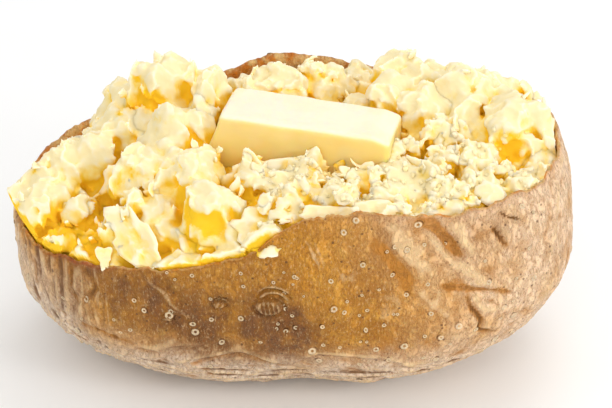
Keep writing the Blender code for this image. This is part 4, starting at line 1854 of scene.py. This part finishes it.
# The clearest pores of the long side that faces the low rim: degrees round, height and width.
PORES = (
    (208.7, 21.7, 1.2), (217.3, 23.8, 1.1), (221.1, 22, 1.3), (222.9, 30, 1.2), (225.4, 28, 1.6),
    (231.1, 37.8, 1), (232, 28.3, 1.3), (233.5, 36.6, 0.9), (238.2, 37.9, 1.3), (238.4, 23.5, 2),
    (243.1, 27.2, 1.4), (243.4, 32.3, 1.2), (253.1, 39.1, 1.2), (254, 36.3, 1.2),
    (262.1, 44.2, 1.8), (263.6, 37.9, 0.9), (264.4, 26.4, 1.2), (265.2, 27.7, 0.9),
    (266.5, 32.5, 1.3), (266.9, 35.2, 0.9), (267, 40.1, 0.8), (267.7, 25.9, 1.4),
    (267.7, 31.1, 1.2), (269.5, 29.7, 1.1), (269.8, 37.6, 0.7), (270.9, 26.7, 1.2),
    (271.2, 39.2, 1), (273.5, 35.1, 0.7), (278.8, 17.7, 1.9), (279.2, 27.9, 1.3),
    (279.8, 22.8, 1.4), (281.8, 39, 1.3), (282.6, 32.4, 2), (284.8, 22, 1.2), (286.1, 49.3, 1.7),
    (286.7, 33.8, 1), (290.2, 51.7, 1.6), (290.3, 30.6, 0.8), (290.7, 23.8, 0.9), (291, 42.7, 1.4),
    (292, 27, 1.4), (292.3, 31.4, 1.1), (292.6, 23.6, 0.9), (295.6, 21.4, 1.5), (295.8, 36.1, 1),
    (297.4, 27.7, 1.2), (298.2, 45, 1), (299.1, 39.6, 1.3), (299.2, 18.5, 1.4), (299.7, 30, 0.9),
    (300.5, 46.3, 1.2), (300.9, 29.9, 0.8), (302.8, 21.8, 1.8), (303, 34.9, 1.5),
    (303.5, 45.6, 1.5), (306.9, 50.3, 1.8), (307.6, 24.3, 1.2), (308.1, 45.6, 1),
    (308.4, 36.7, 1.2), (308.5, 17.9, 1.2), (308.8, 29.6, 1.6), (311.6, 23.4, 1.5),
    (312.8, 16.6, 1.5), (313.3, 45.1, 0.9), (319.5, 24, 1.3), (322.2, 35.3, 1.4), (326, 24.5, 1.2),
    (326.1, 27.7, 1.6), (328.2, 34, 1), (331.9, 40, 0.9), (333.7, 48.2, 0.9))


@dataclass
class Lenticels:
    """The corky breathing pores of the skin: small raised rings with a dark middle.

    profile runs inwards over the ring: reach and height, as shares of radius, and cork.
    """

    apart: float = 3.4
    most: float = 0.022
    radius: float = 0.95
    spokes: int = 12
    profile: tuple[Triple, ...] = (
        (1.25, -0.25, 0.0), (0.98, 0.06, 0.12), (0.72, 0.24, 0.9), (0.46, 0.16, 1.0),
        (0.22, -0.06, 0.0))

    def ring(self) -> Object:
        """Makes one lenticel, lying flat.

        Returns:
            An object that is only copied from.
        """
        noise = Noise(61)
        points, cork = [], []
        for reach, height, share in self.profile:
            for at in range(self.spokes):
                turn = at * FULL_TURN / self.spokes
                way = np.array((math.cos(turn), math.sin(turn), 0.0))
                out = reach * (1 + 0.16 * float(noise(way + reach, 0.8)))
                points.append((out * way[0], out * way[1], height))
                cork.append(share)
        faces = bands(len(self.profile), self.spokes)
        last = (len(self.profile) - 1) * self.spokes
        faces.append(tuple(range(last, last + self.spokes)))
        faces.append(tuple(reversed(range(self.spokes))))
        mesh = mesh_from("lenticel", np.array(points) * self.radius * MM, faces)
        set_attribute(mesh, "ring", np.array(cork))
        return add_object("lenticel", mesh)

    @staticmethod
    def merged(meshes: list[Mesh], name: str, material: Material) -> Mesh:
        """Joins meshes, with the number attributes of the last one.

        Args:
            meshes: The meshes.
            name: The new mesh's name.
            material: Its finish.

        Returns:
            One mesh.
        """
        points, loops, start = [], [], 0
        for mesh in meshes:
            points.append(points_of(mesh))
            loops.extend([[at + start for at in face.vertices] for face in mesh.polygons])
            start += len(mesh.vertices)
        whole = mesh_from(name, np.concatenate(points), loops)
        for layer in meshes[-1].attributes:
            if layer.data_type != "FLOAT" or layer.domain != "POINT":
                continue
            parts = []
            for mesh in meshes:
                part = np.zeros(len(mesh.vertices), np.float32)
                if layer.name in mesh.attributes:
                    mesh.attributes[layer.name].data.foreach_get("value", part)
                parts.append(part)
            set_attribute(whole, layer.name, np.concatenate(parts))
        whole.materials.append(material)
        return whole

    def placed(self, ring: Mesh, shell: Jacket) -> Mesh:
        """Sets the named pores, each a copy of the ring square to the skin.

        Args:
            ring: One lenticel.
            shell: The wrinkled skin, whose colours the pores take.

        Returns:
            One mesh of the named pores.
        """
        flat, cork = points_of(ring), np.empty(len(ring.vertices), np.float32)
        ring.attributes["ring"].data.foreach_get("value", cork)
        loops = [list(face.vertices) for face in ring.polygons]
        draw = np.random.default_rng(67)
        points, faces = [], []
        cells = [shell.cell(turn, height) for turn, height, _ in PORES]
        for at, (cell, (_, _, width)) in enumerate(zip(cells, PORES)):
            middle, facing = shell.outer[cell], shell.normals[cell]
            across = normalised(np.cross((0, 0, 1), facing))
            upward = np.cross(facing, across)
            spin = draw.uniform(0, FULL_TURN)
            one = math.cos(spin) * across + math.sin(spin) * upward
            two = np.cross(facing, one)
            size = width / (2 * self.radius)
            stretch = draw.uniform(0.75, 1.1, 3) * size
            points.append(middle + flat * stretch @ np.stack([one, two, facing]))
            faces.extend([[corner + at * len(flat) for corner in loop] for loop in loops])
        mesh = mesh_from("named_pores", np.concatenate(points), faces)
        set_attribute(mesh, "ring", np.tile(cork, len(PORES)))
        for name, values in shell.fields.items():
            level = np.array([values[cell] for cell in cells])
            set_attribute(mesh, name, np.repeat(level, len(flat)))
        return mesh

    def piece(self, jacket: Object, shell: Jacket, material: Material) -> Object:
        """Strews lenticels over the jacket and adds the named ones.

        Args:
            jacket: The finished jacket.
            shell: The skin that it was made from.
            material: The lenticels' finish.

        Returns:
            The finished piece.
        """
        ring = self.ring()
        mesh = Scatter("strewn_lenticels", material, tumbled=False).made_on(
            jacket, "lenticels", {"Shape": ring, "Apart": self.apart * MM,
                                  "Most": self.most / MM ** 2, "Smallest": 0.45,
                                  "Largest": 1.1, "Seed": 7})
        mesh = self.merged([mesh, self.placed(ring.data, shell)], "lenticels", material)
        bpy.data.objects.remove(ring)
        made = add_object("lenticels", mesh)
        hand_over(made, "baked_skin")
        return made


# ---- the butter


@dataclass
class ButterSlab:
    """The slab of butter: soft edges, a foot that has begun to flow, and faint knife lines."""

    length: float = 37.5
    depth: float = 14.8
    height: float = 12.5
    edge: float = 1.1
    flow: float = 4.2
    turn: float = -13.0
    lean: float = 2.5
    cell: float = 0.55
    noise: Noise = field(default_factory=lambda: Noise(37))

    def points(self, box: Array) -> Array:
        """Softens a box into the slab.

        Args:
            box: Points of a sharp box, in mm round its middle.

        Returns:
            The slab's points, in mm round its middle.
        """
        half = np.array((self.length, self.depth, self.height)) / 2
        inner = np.clip(box, -half + self.edge, half - self.edge)
        out = normalised(box - inner)
        round_off = self.edge * (1 + 0.2 * self.noise(box, 6.0))
        points = inner + out * round_off[:, None]
        sag = self.noise.layered(points, 9.0, 2)
        points += out * (0.16 * sag + 0.05 * self.noise(points * (0.25, 1, 1), 1.6))[:, None]
        low = np.clip(0.5 - points[:, 2] / self.height, 0, 1)
        end = smooth_step(-points[:, 0], self.length * 0.30, self.length * 0.5)
        points[:, 0] -= self.flow * low ** 1.5 * end
        front = smooth_step(-points[:, 1], self.depth * 0.2, self.depth * 0.5)
        points[:, 1] -= 0.9 * low ** 2 * front
        right = smooth_step(points[:, 0], self.length * 0.38, self.length * 0.5)
        points[:, 2] -= 0.9 * right * smooth_step(points[:, 2], 0, 5)
        return points

    def piece(self, material: Material) -> Object:
        """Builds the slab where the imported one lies.

        Args:
            material: The butter's finish.

        Returns:
            The finished slab.
        """
        half = np.array((self.length, self.depth, self.height)) / 2
        steps = [max(2, round(2 * part / self.cell)) for part in half]
        points, faces, index = [], [], {}

        def corner(at: tuple[int, int, int]) -> int:
            """The number of the point at a cell corner, which is added when it is new.

            Args:
                at: The corner's place, counted in cells.

            Returns:
                The point's number.
            """
            if at not in index:
                index[at] = len(points)
                points.append([2 * half[axis] * at[axis] / steps[axis] - half[axis]
                               for axis in range(3)])
            return index[at]

        for axis in range(3):
            one, two = (axis + 1) % 3, (axis + 2) % 3
            for side in (0, steps[axis]):
                for a in range(steps[one]):
                    for b in range(steps[two]):
                        loop = []
                        for da, db in ((0, 0), (1, 0), (1, 1), (0, 1)):
                            at = [0, 0, 0]
                            at[axis], at[one], at[two] = side, a + da, b + db
                            loop.append(corner(tuple(at)))
                        faces.append(loop if side else loop[::-1])
        shaped = self.points(np.array(points))
        spin = Euler((0, math.radians(self.lean), math.radians(self.turn))).to_matrix()
        shaped = shaped @ np.array(spin).T
        low, high = (np.array(corner_of) / MM for corner_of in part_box("butter"))
        shaped += (low + high) / 2 - (shaped.min(0) + shaped.max(0)) / 2
        mesh = mesh_from("butter_slab", shaped * MM, faces)
        melt = smooth_step(low[2] + 4.5 - shaped[:, 2], -2.5, 3.0)
        set_attribute(mesh, "melt", 0.8 * melt)
        # Painted light and shade: 0 on faces that point up, 1 on the sides and underside.
        set_attribute(mesh, "cut", smooth_step(-normals_of(mesh)[:, 2], -0.85, -0.2))
        mesh.materials.append(material)
        made = add_object("butter_slab", mesh)
        hand_over(made, "soft_butter", "butter")
        return made


# ---- the studio


@dataclass(frozen=True)
class Studio:
    """A pale floor, soft lights and the camera."""

    elevation: float = 30.0
    distance: float = 0.5
    lens: float = 132.0
    aim: Triple = (0.0, 0.0, 0.030)
    shift: tuple[float, float] = (0.0027, 0.00475)
    sky: float = 0.82

    def floor(self) -> None:
        """Lays a wide pale floor of matt paper: white, even and without gloss."""
        paper = Finish("matt_paper")
        drift = paper.pattern(60.0, 2)
        material = paper.finish({
            "Base Color": paper.add(MIX, paper.add(SPAN, drift, 0.3, 0.7), "#fbfbfa", "#f8f8f7"),
            "Roughness": 0.9})
        size = 3.0
        mesh = mesh_from("floor", [(-size, -size, 0), (size, -size, 0), (size, size, 0),
                                   (-size, size, 0)], [(0, 1, 2, 3)])
        mesh.materials.append(material)
        add_object("floor", mesh)

    def light(self, name: str, place: Triple, size: float, watts: float) -> None:
        """Hangs a square white soft box that faces the potato.

        Args:
            name: The light's name.
            place: Where it hangs, in metres.
            size: The length of its side, in metres.
            watts: Its power.
        """
        lamp = bpy.data.lights.new(name, "AREA")
        lamp.size = size
        lamp.energy = watts
        made = bpy.data.objects.new(name, lamp)
        made.location = place
        made.rotation_euler = (Vector(self.aim) - Vector(place)).to_track_quat("-Z", "Y").to_euler()
        bpy.context.scene.collection.objects.link(made)

    def camera(self) -> None:
        """Sets up the camera, above the potato and square to its long side."""
        rise = math.radians(self.elevation)
        back = Vector((0, -math.cos(rise), math.sin(rise)))
        up = Vector((0, math.sin(rise), math.cos(rise)))
        aim = Vector(self.aim) + Vector((self.shift[0], 0, 0)) + up * self.shift[1]
        lens = bpy.data.cameras.new("camera")
        lens.lens = self.lens
        lens.sensor_width = 36
        made = bpy.data.objects.new("camera", lens)
        made.location = aim + back * self.distance
        made.rotation_euler = (-back).to_track_quat("-Z", "Y").to_euler()
        bpy.context.scene.collection.objects.link(made)
        bpy.context.scene.camera = made

    def build(self) -> None:
        """Puts up the whole studio."""
        self.floor()
        self.camera()
        world = bpy.data.worlds.new("white_room")
        world.use_nodes = True
        feed(world.node_tree.nodes["Background"],
             {"Color": colour("#ffffff"), "Strength": self.sky})
        bpy.context.scene.world = world
        self.light("key", (0.14, 0.22, 0.60), 0.35, 0.75)
        self.light("side", (0.46, -0.36, 0.30), 0.18, 1.1)
        self.light("front", (-0.06, -0.52, 0.40), 0.3, 0.6)
        bpy.context.scene.view_settings.view_transform = "Standard"


# ---- the whole potato


def main() -> None:
    """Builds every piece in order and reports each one."""
    logging.basicConfig(level=logging.INFO, format="%(message)s")
    Studio().build()
    jacket = Jacket()
    jacket.shape()
    jacket.wrinkle()
    shell = jacket.piece(BakedSkin().make("baked_potato_skin"))
    report(shell)
    slab = ButterSlab().piece(SoftButter().make("churned_butter"))
    report(slab)
    flesh = ForkedFlesh().make("floury_potato_flesh")
    dry = ForkedFlesh().make("dry_potato_crumbs", 0.7)
    heap = Heap().meshes(flesh)
    for mesh in heap:
        mesh.vertices.foreach_set("co", jacket.held_in(points_of(mesh)).ravel())
        mesh.update()
    pores = Lenticels().piece(shell, jacket, BakedSkin().make("corky_lenticel", ringed=True))
    report(pores)
    heap.append(Flakes().mesh(heap[:len(Part)], jacket))
    heap[-1].materials.append(flesh)
    skyline = Skyline([*heap, shell.data, slab.data])
    shade_and_loose = PaintedShadeAndLoose()
    pieces = []
    for mesh in heap:
        shade_and_loose.settle(mesh, skyline)
        pieces.append(add_object(mesh.name, mesh))
    strewn = []
    for seed, ground in enumerate(pieces[:len(Part)]):
        shade_and_loose.loosen(ground.data)
        strewn.append(Crumbs().mesh(ground, dry, seed))
    pieces.extend(add_object(mesh.name, mesh) for mesh in strewn if len(mesh.polygons) > 0)
    for piece in pieces:
        hand_over(piece, "potato_flesh", "flesh")
        report(piece)


if __name__ == "__main__":
    main()
